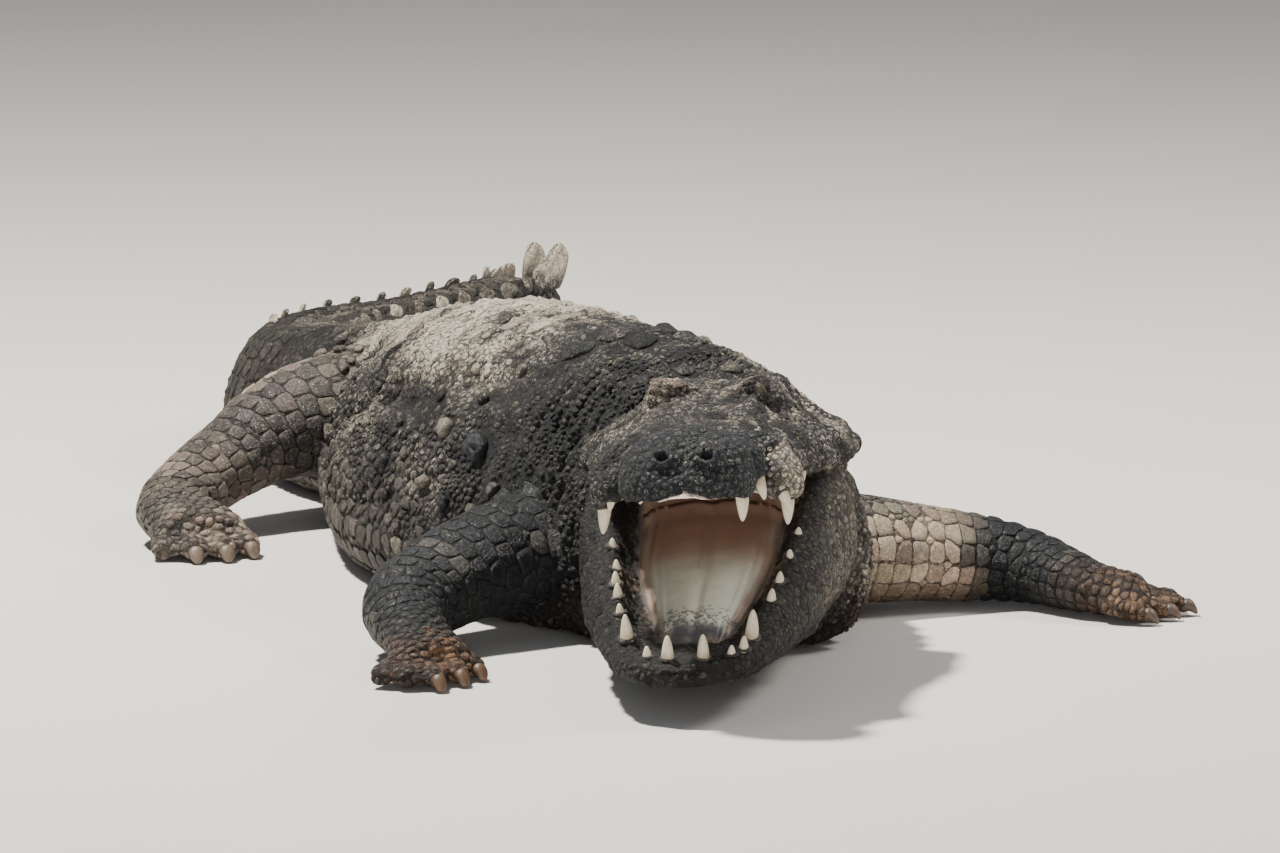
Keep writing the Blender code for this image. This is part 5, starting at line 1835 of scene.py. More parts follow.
def effect(name, inputs, outputs):
    """A new shader node group of numbers; gives its tree, its inputs by name and its output node."""
    tree = bpy.data.node_groups.new(name, "ShaderNodeTree")
    for socket, value in inputs.items():
        made_socket = tree.interface.new_socket(socket, in_out="INPUT", socket_type="NodeSocketFloat")
        made_socket.default_value = value
    for socket in outputs:
        tree.interface.new_socket(socket, in_out="OUTPUT", socket_type="NodeSocketFloat")
    given = tree.nodes.new("NodeGroupInput").outputs
    return tree, {socket: Signal(tree, given[socket]) for socket in inputs}, tree.nodes.new("NodeGroupOutput")


def flaking_group():
    """Dry flakes and dust: broad patches broken into small chips and streaks."""
    tree, given, out = effect("Dry flakes", {"Amount": 0.4, "Chip size": 130.0}, ("Mask",))
    place = place_of(tree)
    patch = step_between(tree, noise(tree, place, 9.0, 3.0), 0.36, 0.62)
    chips = noise(tree, place, given["Chip size"], 4.0, 0.65, 0.6)
    need = 0.78 - given["Amount"] * 0.30 - patch * 0.08
    feed(tree, out.inputs["Mask"], ((chips - need) * 11.0).clamped())
    return tree


def cracked_group():
    """Cracked horny hide: a height for bumps, and how deep in a crack each place is."""
    tree, given, out = effect(
        "Cracked hide", {"Crack scale": 150.0, "Grain scale": 420.0}, ("Height", "Crack", "Fleck"))
    place = place_of(tree)
    warp = add(tree, "ShaderNodeTexNoise", {"Vector": place, "Scale": 60.0, "Detail": 2.0}).outputs["Color"]
    push = add(tree, "ShaderNodeVectorMath", {0: warp, 1: (0.012, 0.012, 0.012)}, operation="MULTIPLY")
    moved = add(tree, "ShaderNodeVectorMath", {0: place, 1: push.outputs[0]}, operation="ADD").outputs[0]
    edge = add(tree, "ShaderNodeTexVoronoi", {"Vector": moved, "Scale": given["Crack scale"]},
               feature="DISTANCE_TO_EDGE").outputs["Distance"]
    crack = step_between(tree, edge, 0.09, 0.0)
    grain = noise(tree, place, given["Grain scale"], 3.0, 0.7)
    lumps = noise(tree, place, 75.0, 2.0, 0.6)
    wrinkle = abs(noise(tree, place, 150.0, 2.0, 0.6, 0.8) - 0.5)
    height = grain * 0.40 + lumps * 0.9 - step_between(tree, wrinkle, 0.07, 0.0) * 0.45 - crack * 0.30
    feed(tree, out.inputs["Height"], height)
    feed(tree, out.inputs["Crack"], crack)
    feed(tree, out.inputs["Fleck"], step_between(tree, noise(tree, place, 300.0, 2.0, 0.5), 0.60, 0.72))
    return tree


def streaks_group():
    """Thin curly lines of dry skin: a mask."""
    tree, given, out = effect("Dry streaks", {"Amount": 0.3, "Streak scale": 80.0}, ("Mask",))
    place = place_of(tree)
    off = abs(noise(tree, place, given["Streak scale"], 2.0, 0.55, 0.9) - 0.5)
    line = ((given["Amount"] * 0.068 - 0.004 - off) / 0.014).clamped()
    broken = step_between(tree, noise(tree, place, 45.0, 3.0, 0.6), 0.40, 0.56)
    feed(tree, out.inputs["Mask"], line * broken * (0.35 + given["Amount"]).clamped())
    return tree


def mud_group():
    """Dried mud and sand that clings low down: a mask."""
    tree, given, out = effect("Clinging mud", {"Amount": 0.3}, ("Mask",))
    lumps = noise(tree, place_of(tree), 55.0, 4.0, 0.7)
    feed(tree, out.inputs["Mask"], ((lumps - (0.80 - given["Amount"] * 0.55)) * 9.0).clamped())
    return tree


def group_node(tree, name, inputs):
    """The outputs of one of the shared effects, by name."""
    node = add(tree, "ShaderNodeGroup")
    node.node_tree = made["groups"][name]
    for key, source in inputs.items():
        feed(tree, node.inputs[key], source)
    return {socket.name: Signal(tree, socket) for socket in node.outputs}


def new_finish(name):
    finish = bpy.data.materials.new(name)
    finish.use_nodes = True
    tree = finish.node_tree
    shader = next(node for node in tree.nodes if node.type == "BSDF_PRINCIPLED")
    shader.inputs["Metallic"].default_value = 0.0
    return finish, tree, shader


def stored(tree, name):
    """A colour that is stored at each point."""
    return add(tree, "ShaderNodeAttribute", attribute_name=name).outputs["Color"]


def stored_marks(tree):
    """The stored marks one by one: crust, wetness and mud."""
    split = add(tree, "ShaderNodeSeparateColor", {"Color": stored(tree, "marks")}).outputs
    return [Signal(tree, split[number]) for number in range(3)]


def shaded_tint(tree, shade):
    """The stored colour, darkened or brightened by a grey."""
    grey = add(tree, "ShaderNodeCombineColor", {0: shade, 1: shade, 2: shade}).outputs[0]
    return mixed(tree, 1.0, stored(tree, "tint"), grey, "MULTIPLY")


def bumped(tree, shader, height, distance):
    node = add(tree, "ShaderNodeBump", {"Height": height, "Strength": 1.0, "Distance": distance})
    feed(tree, shader.inputs["Normal"], node.outputs["Normal"])


def hide_finish(name, crack_scale, grain_scale, chip_size, bump, rough, settings):
    """The hide: its stored colours, with cracks painted dark as shade, and pale flakes and clinging mud over
    them.
    """
    finish, tree, shader = new_finish(name)
    shader.inputs["Specular IOR Level"].default_value = 0.36
    crust, wet, muddy = stored_marks(tree)
    cracked = group_node(tree, "cracked", {"Crack scale": crack_scale, "Grain scale": grain_scale})
    flakes = group_node(tree, "flakes", {"Amount": crust, "Chip size": chip_size})["Mask"]
    mud = group_node(tree, "mud", {"Amount": muddy})["Mask"]
    streaks = group_node(tree, "streaks", {"Amount": crust, "Streak scale": 85.0})["Mask"]
    plain = 1.0 - wet
    mottle = noise(tree, place_of(tree), 140.0, 4.0, 0.7)
    rugged = (mottle * 4.2 - 1.1).at_least(0.22)
    colour = shaded_tint(tree, rugged * plain + (0.55 + mottle * 0.90) * wet)
    flake_colour = (*settings.flake_colour, 1.0)
    # Cracks are painted nearly black, as shade in them; flecks, flakes, streaks and mud go over that.
    for share, over in (
        (cracked["Crack"] * (0.10 + plain * 0.70), (0.006, 0.006, 0.006, 1.0)),
        (cracked["Fleck"] * (crust * 0.55), flake_colour),
        (flakes * 0.80, flake_colour),
        (streaks * 0.72, flake_colour),
        (mud * 0.80, (*settings.mud_colour, 1.0)),
    ):
        colour = mixed(tree, share, colour, over)
    feed(tree, shader.inputs["Base Color"], colour)
    roughness = rough - 0.13 + mottle * 0.26 - wet * 0.16 + flakes * 0.22 + mud * 0.30
    feed(tree, shader.inputs["Roughness"], roughness.clamped())
    height = cracked["Height"] * (0.35 + plain * 0.65) + flakes * 0.35 + streaks * 0.40 + mud * 0.45
    bumped(tree, shader, height, bump)
    return finish


def lining_finish():
    """Moist lining of the mouth, with fine folds and dark specks near the front."""
    finish, tree, shader = new_finish("mouth lining")
    _, speckled, _ = stored_marks(tree)
    place = place_of(tree)
    soft = noise(tree, place, 38.0, 3.0, 0.55, 0.8)
    specks = noise(tree, place, 115.0, 3.0, 0.6, 1.2)
    speck_mask = ((specks - (0.80 - speckled * 0.27)) * 16.0).clamped()
    colour = shaded_tint(tree, 0.80 + soft * 0.40)
    colour = mixed(tree, speck_mask * 0.80, colour, (0.050, 0.055, 0.060, 1.0))
    feed(tree, shader.inputs["Base Color"], colour)
    feed(tree, shader.inputs["Roughness"], 0.36 + soft * 0.28)
    shader.inputs["Subsurface Weight"].default_value = 0.12
    shader.inputs["Subsurface Radius"].default_value = (0.010, 0.004, 0.002)
    shader.inputs["Subsurface Scale"].default_value = 0.5
    pores = noise(tree, place, 260.0, 3.0, 0.6)
    bumped(tree, shader, pores * 0.5 + soft, 0.0012)
    return finish


def horn_finish(name, roughness, bump, streak_scale, stain):
    """Tooth and claw: tinted along their length, with long streaks and stains."""
    finish, tree, shader = new_finish(name)
    place = place_of(tree)
    streak = noise(tree, place, streak_scale, 3.0, 0.6, 0.4)
    stains = step_between(tree, noise(tree, place, 95.0, 3.0, 0.65), 0.50, 0.72)
    colour = mixed(tree, stains * stain[3], shaded_tint(tree, 0.76 + streak * 0.48), (*stain[:3], 1.0))
    feed(tree, shader.inputs["Base Color"], colour)
    feed(tree, shader.inputs["Roughness"], roughness + streak * 0.20)
    bumped(tree, shader, streak, bump)
    return finish


def eye_finish():
    """Wet eyeball: iris and pupil from its tint, under a clear coat."""
    finish, tree, shader = new_finish("wet eye")
    fleck = noise(tree, place_of(tree), 900.0, 3.0, 0.7)
    feed(tree, shader.inputs["Base Color"], shaded_tint(tree, 0.70 + fleck * 0.60))
    feed(tree, shader.inputs["Roughness"], 0.10 + fleck * 0.10)
    shader.inputs["Coat Weight"].default_value = 1.0
    shader.inputs["Coat Roughness"].default_value = 0.03
    return finish


def make_finishes(settings):
    made["groups"] = {
        "flakes": flaking_group(), "cracked": cracked_group(), "mud": mud_group(), "streaks": streaks_group(),
    }
    made["finish"] = {
        "skin": hide_finish("creased skin", 210.0, 520.0, 210.0, 0.0034, 0.70, settings),
        "scale": hide_finish("horny scale", 210.0, 480.0, 270.0, 0.0042, 0.58, settings),
        "lining": lining_finish(),
        "tooth": horn_finish("tooth enamel", 0.22, 0.0004, 180.0, (0.30, 0.20, 0.09, 0.35)),
        "claw": horn_finish("claw horn", 0.40, 0.0008, 240.0, (0.060, 0.045, 0.035, 0.65)),
        "eye": eye_finish(),
    }


# ---- mouth, teeth, eyes, claws and crest ----------------------------------------------------

def make_tongue(finish):
    """The broad tongue and the floor of the mouth beside it, thinning out onto the walls."""
    rings, marks, tints = [], [], []
    for back in np.linspace(0.098, 0.402, 62):
        half_width, _, rim, trough = (float(v[0]) for v in jaw_sizes(back))
        floor = rim - trough
        front = float(ramp(back, 0.100, 0.150))
        cream = float(cream_share(np.array([back]))[0])
        wide = half_width * (cream + 0.10)
        half = np.linspace(0, 1, 25)
        side = half * wide / half_width
        gentle, steep = np.clip((side - 0.30) / 0.20, 0, 1), np.clip((side - 0.50) / 0.12, 0, 1)
        wall = trough * (0.12 * gentle + 0.33 * steep**1.5)
        body = (TONGUE_LIFT + 0.30 * trough) * (1 - half**2.6) * front * (1 - 0.18 * hill(half, 0.10))
        fold = 0.0016 * np.sin(half * 46 + back * 30) * ramp(half, 0.60, 0.75) * ramp(half, 1.0, 0.92)
        ripple = 0.0003 * np.sin(back * 190 + half * 5) * ramp(half, 0.8, 0.3) * ramp(back, 0.12, 0.26)
        height = wall + body + fold + ripple - 0.0012 - 0.004 * (1 - front) - 0.003 * half**8
        top = np.column_stack([half * wide, height])
        bottom = np.column_stack([half * wide, np.full(25, -0.006)])
        outline = np.vstack([bottom[:-1], top[::-1]])
        ring = whole_ring(outline)
        rings.append(head_place(ring[:, 0], back, floor + ring[:, 1] + 0.002 * front))
        edge = np.abs(ring[:, 0]) / half_width - cream
        at = np.full(len(ring), back)
        tints.append(mouth_colour(at, edge, fractal_noise(rings[-1], 0.02, 81)))
        speck = ramp(at, 0.225, 0.16) * (0.85 + 0.35 * ramp(at, 0.19, 0.15))
        marks.append(np.column_stack([np.zeros(len(ring)), speck, np.zeros(len(ring)), np.ones(len(ring))]))
    mesh = grid_mesh("tongue_and_floor", np.array(rings))
    tint, mark = np.concatenate(tints), np.concatenate(marks)
    extra = len(mesh.vertices) - len(tint)
    paint(mesh, np.vstack([tint, np.tile(SLATE, (extra, 1))]), np.vstack([mark, np.zeros((extra, 4))]))
    return new_object("tongue_and_floor", mesh, finish)


def tooth_rings(foot, tip, radius, bow):
    """A curved conical tooth with two low cutting edges."""
    axis = tip - foot
    across = unit(np.cross(axis, (1.0, 0.0, 0.0)))
    other = unit(np.cross(axis, across))
    angle = circle(16)
    rings = []
    for share in np.concatenate([np.linspace(0, 0.9, 9), [0.95, 0.985, 1.0]]):
        size = radius * (0.98 - 0.34 * share**1.6) * math.sqrt(max(0.0, 1 - share**3.2)) + radius * 0.02
        centre = foot + axis * share + bow * math.sin(math.pi * share * 0.9)
        edge = 1 + 0.05 * np.abs(np.cos(angle)) ** 8
        around = across * np.cos(angle)[:, None] + other * np.sin(angle)[:, None]
        rings.append(centre + around * (size * edge)[:, None])
    return np.array(rings)


def collar_rings(foot, axis, radius, rng):
    """A knobbly cuff of gum round the base of a tooth."""
    axis = unit(axis)
    across = unit(np.cross(axis, (1.0, 0.0, 0.0)))
    other = unit(np.cross(axis, across))
    rings = []
    turns = 18
    phase = rng.uniform(0, 6.28)
    for k in range(turns):
        angle = 2 * math.pi * k / turns
        outward = across * math.cos(angle) + other * math.sin(angle)
        fat = 0.0024 + 0.0008 * math.sin(3 * angle + phase)
        centre = foot + outward * (radius + 0.0002)
        turn = circle(9)[:, None]
        rings.append(centre + outward * np.cos(turn) * fat + axis * (np.sin(turn) * 0.9 - 0.5) * fat)
    return np.array(rings)


def ring_loop(rings):
    """A closed loop of sections, as points and triangles."""
    n, m = rings.shape[:2]
    index = np.arange(n * m).reshape(n, m)
    following = np.roll(index, -1, axis=0)
    corners = index, np.roll(index, -1, axis=1), np.roll(following, -1, axis=1), following
    return rings.reshape(-1, 3), split_quads(*corners)


def make_teeth(settings, tooth_finish, gum_finish):
    """Every tooth as one ivory piece for each jaw, and the gum cuffs round their bases."""
    rng = np.random.default_rng(settings.seed + 2)
    ivory, root = np.array([0.60, 0.54, 0.41]), np.array([0.42, 0.33, 0.21])
    for jaw_name, rows, down in (("upper", UPPER_TEETH, True), ("lower", LOWER_TEETH, False)):
        teeth, cuffs = [], []
        for side, back, length, lean, *share in rows:
            if down:
                half_width = smooth_table(SKULL, back)[0, 0]
                inset = 0.010 if back > 0.1 else 0.013
                x = side * (half_width - (0.004 if lean > 0.4 else inset + length * 0.12))
                level = lip_z(back) + festoon(back)
                foot = head_place(x, back + 0.006, level + 0.012)
                tip = head_place(x + side * lean * length, back, level - length)
            else:
                x = side * smooth_table(MANDIBLE, back)[0, 0] * share[0]
                level = float(jaw_rim(back))
                foot = head_place(x, back, level - 0.010)
                tip = head_place(x + side * lean * length, back - 0.2 * length, level + length)
            radius = 0.0048 + 0.13 * length
            bow = np.array([0.0, -1.0, 0.0]) * length * 0.05
            rings = tooth_rings(foot, tip, radius, bow)
            share = np.repeat(np.linspace(0, 1, len(rings)), rings.shape[1])
            tint = blend(root, ivory, ramp(share, 0.12, 0.45))
            teeth.append((*grid_arrays(rings), np.vstack([tint, root, ivory])))
            length = float(np.linalg.norm(tip - foot))
            axis = unit(tip - foot)
            entry, facing, *_ = made["tree"].ray_cast(tip.tolist(), (-axis).tolist(), length)
            gum_at = foot + axis * 0.0115 if entry is None else np.array(entry)
            gum_axis = axis if entry is None else unit(axis + 1.6 * np.array(facing))
            cuffs.append(collar_rings(gum_at, gum_axis, radius * 1.06, rng))
        gums = []
        for cuff in cuffs:
            points, triangles = ring_loop(cuff)
            dark = np.array([0.060, 0.056, 0.052]) * rng.uniform(0.7, 1.6)
            gums.append((points, triangles, np.tile(dark, (len(points), 1))))
        for label, parts, finish, slot in (
            ("teeth", teeth, tooth_finish, "claw"), ("gum_cuffs", gums, gum_finish, "mouth"),
        ):
            points, triangles, tint = joined(parts)
            mesh = triangle_mesh(f"{jaw_name}_{label}", points, triangles)
            paint(mesh, tint, np.tile([0.05, 0.2, 0.0, 1.0], (len(tint), 1)))
            piece = new_object(f"{jaw_name}_{label}", mesh, finish)
            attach(piece, "root")


def make_eyes(finish):
    """Both eyeballs: brassy iris, upright slit pupil and a dark rim under the lids."""
    angle = circle(72)[:, None]
    for sign, side in ((1, "left"), (-1, "right")):
        centre, look, along, upward = eye_frame(sign)
        around = along * np.cos(angle) + upward * np.sin(angle)
        rings = []
        for tilt in np.linspace(0.02, math.pi - 0.02, 72):
            bulge = EYE_RADIUS * (1 + 0.045 * math.exp(-(tilt / 0.55) ** 4))
            rings.append(centre + bulge * (look * math.cos(tilt) + around * math.sin(tilt)))
        rings = np.array(rings)
        offset = unit(rings.reshape(-1, 3) - centre)
        u, v, w = offset @ along, offset @ upward, offset @ look
        reach = np.arccos(np.clip(w, -1, 1))
        streak = value_noise(np.column_stack([np.arctan2(v, u) * 9, reach * 3, np.zeros(len(u))]), 1.0, 7)
        brass = blend(np.array([0.17, 0.14, 0.06]), np.array([0.07, 0.06, 0.03]), streak * 0.8)
        brass = blend(brass, np.array([0.035, 0.030, 0.020]), ramp(reach, 0.55, 0.68))
        white = np.array([0.20, 0.16, 0.12])
        tint = blend(brass, white, ramp(reach, 0.72, 0.86))
        slit = (u / 0.085) ** 2 + (v / 0.50) ** 2
        tint = blend(tint, np.array([0.004, 0.004, 0.004]), ramp(slit, 1.25, 0.85) * (w > 0))
        mesh = grid_mesh(f"eyeball_{side}", rings)
        extra = len(mesh.vertices) - len(tint)
        paint(mesh, np.vstack([tint, np.tile(tint[0], (extra, 1))]), np.zeros((len(mesh.vertices), 4)))
        piece = new_object(f"eyeball_{side}", mesh, finish)
        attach(piece, "root")
        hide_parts(f"eye_{side}")


# Colour of each foot's claws, at the root and at the tip.
CLAW_TONES = {
    "fore_right": ((0.055, 0.034, 0.020), (0.120, 0.068, 0.036)),
    "fore_left": ((0.050, 0.032, 0.022), (0.105, 0.068, 0.044)),
    "hind_right": ((0.075, 0.054, 0.040), (0.170, 0.124, 0.088)),
    "hind_left": ((0.060, 0.044, 0.034), (0.160, 0.115, 0.080)),
}


def make_claws(settings, finish):
    """Blunt, worn claws, curved down, three on each foot."""
    rng = np.random.default_rng(settings.seed + 3)
    for name in LEG_NAMES:
        fore = name.startswith("fore")
        base, tip = (np.array(tone) for tone in CLAW_TONES[name])
        for number, (start, axis, length, _) in enumerate(toe_lines(name)[:CLAWED_TOES]):
            begin = start + axis * (length - 0.006)
            radius = 0.0098 if fore else 0.0110
            rings, tints = [], []
            for share in np.linspace(0, 1, 16):
                size = radius * (0.96 - 0.06 * share) * math.sqrt(max(0.02, 1 - 0.97 * share**4.0))
                centre = begin + axis * ((CLAW_LENGTH + 0.002) * share)
                centre[2] = 0.0125 + 0.004 * math.sin(math.pi * share) - 0.0075 * share**1.5
                ring = tube_ring(centre, axis, size, size * 0.92, 18)
                ring[:, 2] = np.maximum(ring[:, 2], 0.0006)
                rings.append(ring)
                tone = base * (1 - share) + tip * share
                tints.append(np.tile(tone * rng.uniform(0.92, 1.08), (18, 1)))
            mesh = grid_mesh(f"{name}_horn_{number + 1}", np.array(rings))
            tint = np.concatenate(tints)
            tint = np.vstack([tint, tint[0], tint[-1]])
            paint(mesh, tint, np.zeros((len(tint), 4)))
            piece = new_object(f"{name}_horn_{number + 1}", mesh, finish)
            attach(piece, "root")
            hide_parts(f"{name}_claw_{number + 1}")


def whorls():
    """Places of the crest's scutes along the spine, an even pitch apart, with their height."""
    first, last = CREST_HEIGHT[0][0], CREST_HEIGHT[-1][0]
    fine = np.linspace(first, last, 400)
    run = running(np.array([spine_at(at)[0] for at in fine]))
    for distance in np.arange(0.0, run[-1], WHORL):
        at = float(np.interp(distance, run, fine))
        yield at, float(smooth_table(CREST_HEIGHT, at)[0, 0])


def crest_flake(at, side, size, rng):
    """One upright scute of the tail's crest: a rounded, bent flake with a worn edge."""
    centre, turn, half_width, height = spine_at(at)
    left = np.array([math.cos(turn), -math.sin(turn), 0.0])
    back = np.array([math.sin(turn), math.cos(turn), 0.0])
    foot = centre + left * (side * 0.50 * half_width) + np.array([0, 0, height * 0.93 - 0.008])
    lean = unit(left * (0.22 * side) + back * 0.10 + np.array([0, 0, 1.0]))
    tall = size > TALL_CREST
    size = size * (0.45 if tall and side < 0 else 1.0)
    twist = (0.90 if side >= 0 else 0.35) + rng.normal(0, 0.08) if tall else rng.normal(0, 0.25)
    blade = back * math.cos(twist) + left * math.sin(twist)
    through = np.cross(blade, lean)
    worn = rng.uniform(0.90, 1.05)
    angle = circle(28)
    wave = 1 + 0.06 * np.sin(5 * angle + rng.uniform(0, 6)) + 0.05 * rng.normal(0, 0.5, len(angle))
    rings = []
    for share in np.linspace(0, 1, 14):
        round_top = math.sqrt(max(0.0, 1 - max(0.0, (share - 0.58) / 0.43) ** 2.2))
        full = 0.78 + 0.30 * math.sin(math.pi * min(share / 1.1, 1))
        wide = 0.5 * (0.040 if tall else 0.030) * full * round_top
        thick = 0.0060 * (1 - 0.50 * share) * (1.0 if share < 0.97 else 0.6)
        bend = 0.006 * math.sin(2.4 * share + side)
        middle = foot + lean * ((size + 0.010) * share * worn) + through * bend
        ripple = 0.0016 * np.sin(angle * 4 + share * 9)
        own = wave if share > 0.3 else 1.0
        rings.append(middle + blade * (np.cos(angle) * max(wide, 0.002) * own)[:, None]
                     + through * (np.sin(angle) * thick + ripple * share)[:, None])
    return np.array(rings)


def make_crest(settings, finish):
    """The tail's crest: two rows of flakes that become one."""
    rng = np.random.default_rng(settings.seed + 4)
    flakes = []
    for at, size in whorls():
        for side in (-1, 1) if at < CREST_JOINS else (0,):
            rings = crest_flake(at, side, size, rng)
            share = np.repeat(np.linspace(0, 1, len(rings)), rings.shape[1])
            bright = rng.uniform(0.9, 1.2) if size > TALL_CREST or rng.random() < 0.3 else 0.22
            tone = blend(CHARCOAL * 1.6, BONE * bright, ramp(share, 0.15, 0.60))
            flakes.append((*grid_arrays(rings), np.vstack([tone, tone[0], tone[-1]])))
    points, triangles, tint = joined(flakes)
    mesh = triangle_mesh("tail_crest", points, triangles)
    paint(mesh, tint, np.tile([0.55, 0.5, 0.0, 1.0], (len(tint), 1)))
    piece = new_object("tail_crest", mesh, finish)
    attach(piece, "root")


# ---- the add-on ----------------------------------------------------------------------------

class CrocodileSizes(bpy.types.PropertyGroup):
    coat_depth: bpy.props.FloatProperty(
        name="Coat depth", description="How far the skin lies inside the solid form",
        default=0.0035, unit="LENGTH")
    skin_face: bpy.props.FloatProperty(
        name="Skin face", description="Size of the skin's faces", default=0.005, unit="LENGTH")
    crease: bpy.props.FloatProperty(
        name="Crease", description="Width of the creases between scales, as a factor", default=1.0)
    relief: bpy.props.FloatProperty(
        name="Relief", description="Height of the scales, as a factor", default=1.0)
    amount: bpy.props.FloatProperty(
        name="Small scales", description="Number of small scales, as a factor", default=1.0)
    seed: bpy.props.IntProperty(name="Seed", description="Changes the scatter of the scales", default=4)


class CrocodileColours(bpy.types.PropertyGroup):
    flake_colour: bpy.props.FloatVectorProperty(
        name="Flakes", description="Dry pale flakes on the hide", subtype="COLOR",
        default=(0.732, 0.659, 0.537))
    mud_colour: bpy.props.FloatVectorProperty(
        name="Mud", description="Dried mud low on the body and feet", subtype="COLOR",
        default=(0.26, 0.145, 0.078))
    floor_colour: bpy.props.FloatVectorProperty(
        name="Floor", description="Floor of the stage", subtype="COLOR", default=(0.62, 0.60, 0.57))


class CROC_OT_skin(bpy.types.Operator):
    """Make the one skin of the animal"""
    bl_idname = "crocodile.skin"
    bl_label = "Skin"

    def execute(self, context):
        make_finishes(context.scene.crocodile_colours)
        mesh = make_skin(context.scene.crocodile_sizes)
        area = made["area"]
        colour, crust, mud = hide_colour(made["points"], area)
        mouth = ramp(area["mouth"], 0.2, 0.6)
        shade = 0.42 + 0.20 * ramp(fractal_noise(made["points"], 0.05, 99), 0.5, 0.8)
        tint = blend(colour * shade[:, None], lining_colour(made["points"], area), mouth)
        floor, across, back = area["floor"], area["across"], area["back"]
        specks = 0.55 * ramp(across, 0.5, 0.8) * floor + 0.9 * ramp(back, 0.14, 0.06) * floor
        marks = np.column_stack([crust * 0.6, specks, mud, np.ones(len(mud))])
        paint(mesh, tint, marks)
        skin = new_object("hide_skin", mesh, made["finish"]["skin"], made["finish"]["lining"])
        inside = lining_faces(mesh, mouth)
        mesh.polygons.foreach_set("material_index", inside.astype(np.int32))
        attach(skin, "root")
        flesh = ["head", "lower_jaw", "neck", "trunk"] + [f"tail_{k}" for k in range(1, 5)]
        flesh += [f"{name}_{part}" for name in LEG_NAMES for part in ("upper", "lower", "foot")]
        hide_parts(*flesh)
        print(f"hide_skin: {len(mesh.polygons)} faces")
        made["skin"] = skin
        return {"FINISHED"}


class CROC_OT_scales(bpy.types.Operator):
    """Grow the scales, plates and knobs over the skin"""
    bl_idname = "crocodile.scales"
    bl_label = "Scales"

    def execute(self, context):
        sizes = context.scene.crocodile_sizes
        made["roots"] = make_roots(made["skin"].data, sizes.seed, sizes.amount)
        if len(made["roots"]["size"]) < 1000:
            raise RuntimeError("too few scales found a place on the skin")
        print(f"{len(made['roots']['size'])} scales")
        make_scales(sizes, made["finish"]["scale"])
        return {"FINISHED"}


class CROC_OT_crest(bpy.types.Operator):
    """Make the tail's crest"""
    bl_idname = "crocodile.crest"
    bl_label = "Tail crest"

    def execute(self, context):
        make_crest(context.scene.crocodile_sizes, made["finish"]["scale"])
        return {"FINISHED"}


class CROC_OT_mouth(bpy.types.Operator):
    """Make the tongue, the teeth and their gums"""
    bl_idname = "crocodile.mouth"
    bl_label = "Mouth"

    def execute(self, context):
        piece = make_tongue(made["finish"]["lining"])
        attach(piece, "root")
        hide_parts("tongue")
        make_teeth(context.scene.crocodile_sizes, made["finish"]["tooth"], made["finish"]["scale"])
        return {"FINISHED"}


class CROC_OT_eyes(bpy.types.Operator):
    """Make the eyeballs"""
    bl_idname = "crocodile.eyes"
    bl_label = "Eyes"

    def execute(self, context):
        make_eyes(made["finish"]["eye"])
        return {"FINISHED"}


class CROC_OT_claws(bpy.types.Operator):
    """Make the claws"""
    bl_idname = "crocodile.claws"
    bl_label = "Claws"

    def execute(self, context):
        make_claws(context.scene.crocodile_sizes, made["finish"]["claw"])
        return {"FINISHED"}


FLOOR_REACH = 40.0
# Lights: name, place, what they face, size, power and colour.
LIGHTS = (
    ("key", (-1.7, 0.7, 5.0), (-0.1, -0.1, 0.1), 0.45, 800.0, (1.0, 0.95, 0.87)),
    ("fill", (-2.2, -6.2, 1.5), (-0.1, -0.9, 0.15), 1.8, 55.0, (0.95, 0.96, 1.0)),
    ("low", (-1.0, -4.0, 0.40), (0.05, -0.9, 0.22), 0.7, 30.0, (1.0, 0.96, 0.92)),
    ("side", (3.6, -0.6, 3.4), (0.0, 0.0, 0.2), 1.6, 150.0, (1.0, 0.97, 0.92)),
)
# Camera: place, tilt and turn in degrees, and length of its lens in millimetres.
CAMERA = (-3.637448, -10.952469, 2.021555), 80.93144, -19.0, 250.0


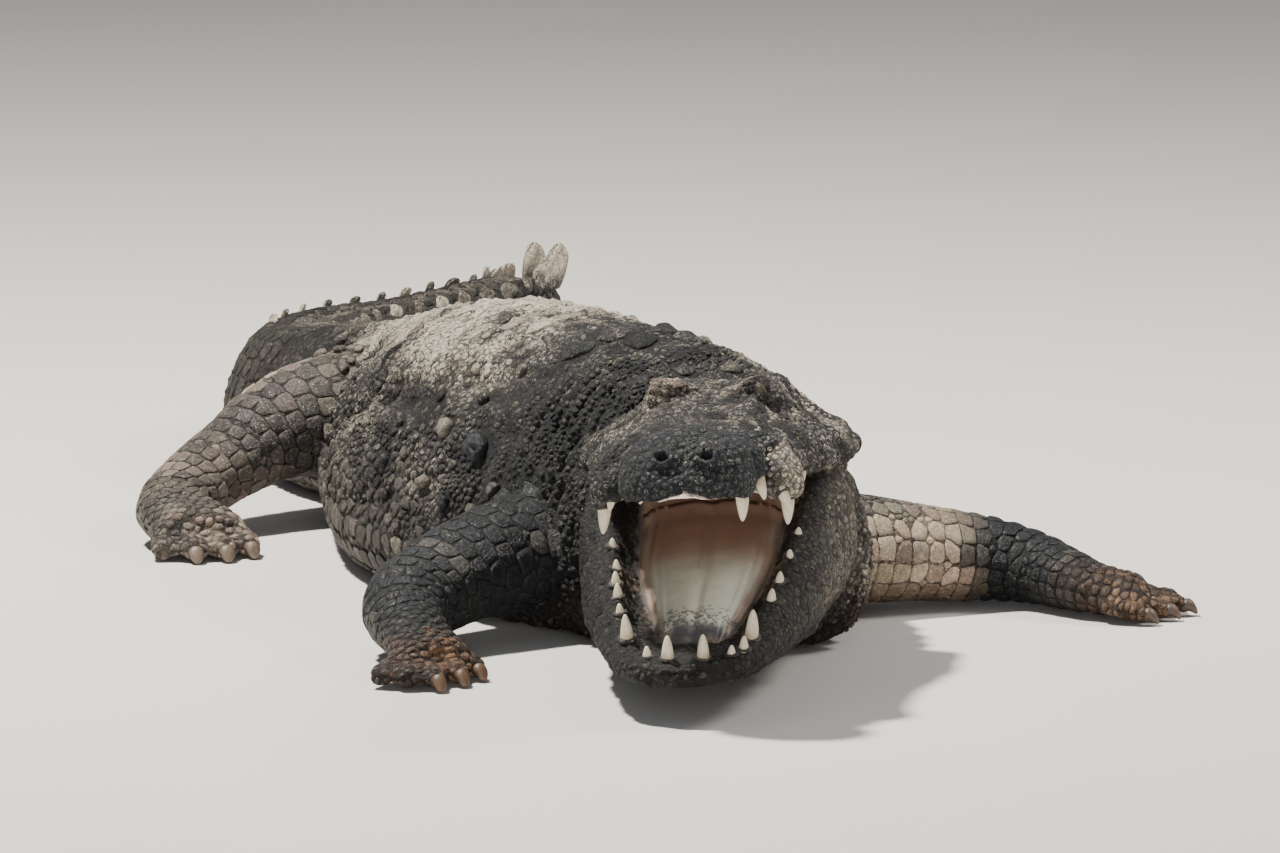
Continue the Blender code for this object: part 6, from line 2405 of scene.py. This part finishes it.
class CROC_OT_stage(bpy.types.Operator):
    """Set out the floor, the soft lights and the camera"""
    bl_idname = "crocodile.stage"
    bl_label = "Stage"

    def execute(self, context):
        scene = context.scene
        mesh = bpy.data.meshes.new("studio_floor")
        corners = [(x * FLOOR_REACH, y * FLOOR_REACH, 0) for x, y in ((-1, -1), (1, -1), (1, 1), (-1, 1))]
        mesh.from_pydata(corners, [], [(0, 1, 2, 3)])
        finish, tree, shader = new_finish("studio floor")
        shade = noise(tree, place_of(tree), 1.5, 2.0)
        colour = scene.crocodile_colours.floor_colour
        dim, bright = ((*[min(1.0, part * factor) for part in colour], 1.0) for factor in (0.97, 1.03))
        feed(tree, shader.inputs["Base Color"], mixed(tree, shade, dim, bright))
        shader.inputs["Roughness"].default_value = 0.85
        new_object("studio_floor", mesh, finish)
        world = bpy.data.worlds.new("soft studio")
        world.use_nodes = True
        sky = world.node_tree.nodes["Background"].inputs
        sky["Color"].default_value = (0.80, 0.86, 0.95, 1.0)
        sky["Strength"].default_value = 0.24
        scene.world = world
        for name, place, aim, size, power, colour in LIGHTS:
            light = bpy.data.lights.new(name, "AREA")
            light.shape = "DISK"
            light.size = size
            light.energy = power
            light.color = colour
            lamp = bpy.data.objects.new(name, light)
            lamp.location = place
            lamp.rotation_euler = (Vector(aim) - Vector(place)).to_track_quat("-Z", "Y").to_euler()
            scene.collection.objects.link(lamp)
        lens = bpy.data.cameras.new("camera")
        place, tilt, turn, lens.lens = CAMERA
        lens.sensor_width = 36.0
        lens.clip_end = 100.0
        camera = bpy.data.objects.new("camera", lens)
        camera.location = place
        camera.rotation_euler = (math.radians(tilt), 0.0, math.radians(turn))
        scene.collection.objects.link(camera)
        scene.camera = camera
        return {"FINISHED"}


STEPS = (
    CROC_OT_skin, CROC_OT_scales, CROC_OT_crest, CROC_OT_mouth, CROC_OT_eyes, CROC_OT_claws, CROC_OT_stage,
)


class CROC_PT_panel(bpy.types.Panel):
    """Lists the sizes, the colours and the steps"""
    bl_label = "Crocodile"
    bl_idname = "CROC_PT_panel"
    bl_space_type = "VIEW_3D"
    bl_region_type = "UI"
    bl_category = "Crocodile"

    def draw(self, context):
        layout = self.layout
        for group in (context.scene.crocodile_sizes, context.scene.crocodile_colours):
            for key in group.__annotations__:
                layout.prop(group, key)
        for step in STEPS:
            layout.operator(step.bl_idname)


CLASSES = (CrocodileSizes, CrocodileColours, *STEPS, CROC_PT_panel)


def register():
    for one in CLASSES:
        bpy.utils.register_class(one)
    bpy.types.Scene.crocodile_sizes = bpy.props.PointerProperty(type=CrocodileSizes)
    bpy.types.Scene.crocodile_colours = bpy.props.PointerProperty(type=CrocodileColours)


def unregister():
    del bpy.types.Scene.crocodile_sizes
    del bpy.types.Scene.crocodile_colours
    for one in reversed(CLASSES):
        bpy.utils.unregister_class(one)


def main():
    register()
    bpy.ops.crocodile.skin()
    bpy.ops.crocodile.scales()
    bpy.ops.crocodile.crest()
    bpy.ops.crocodile.mouth()
    bpy.ops.crocodile.eyes()
    bpy.ops.crocodile.claws()
    bpy.ops.crocodile.stage()
    bpy.context.view_layer.update()


if __name__ == "__main__":
    main()
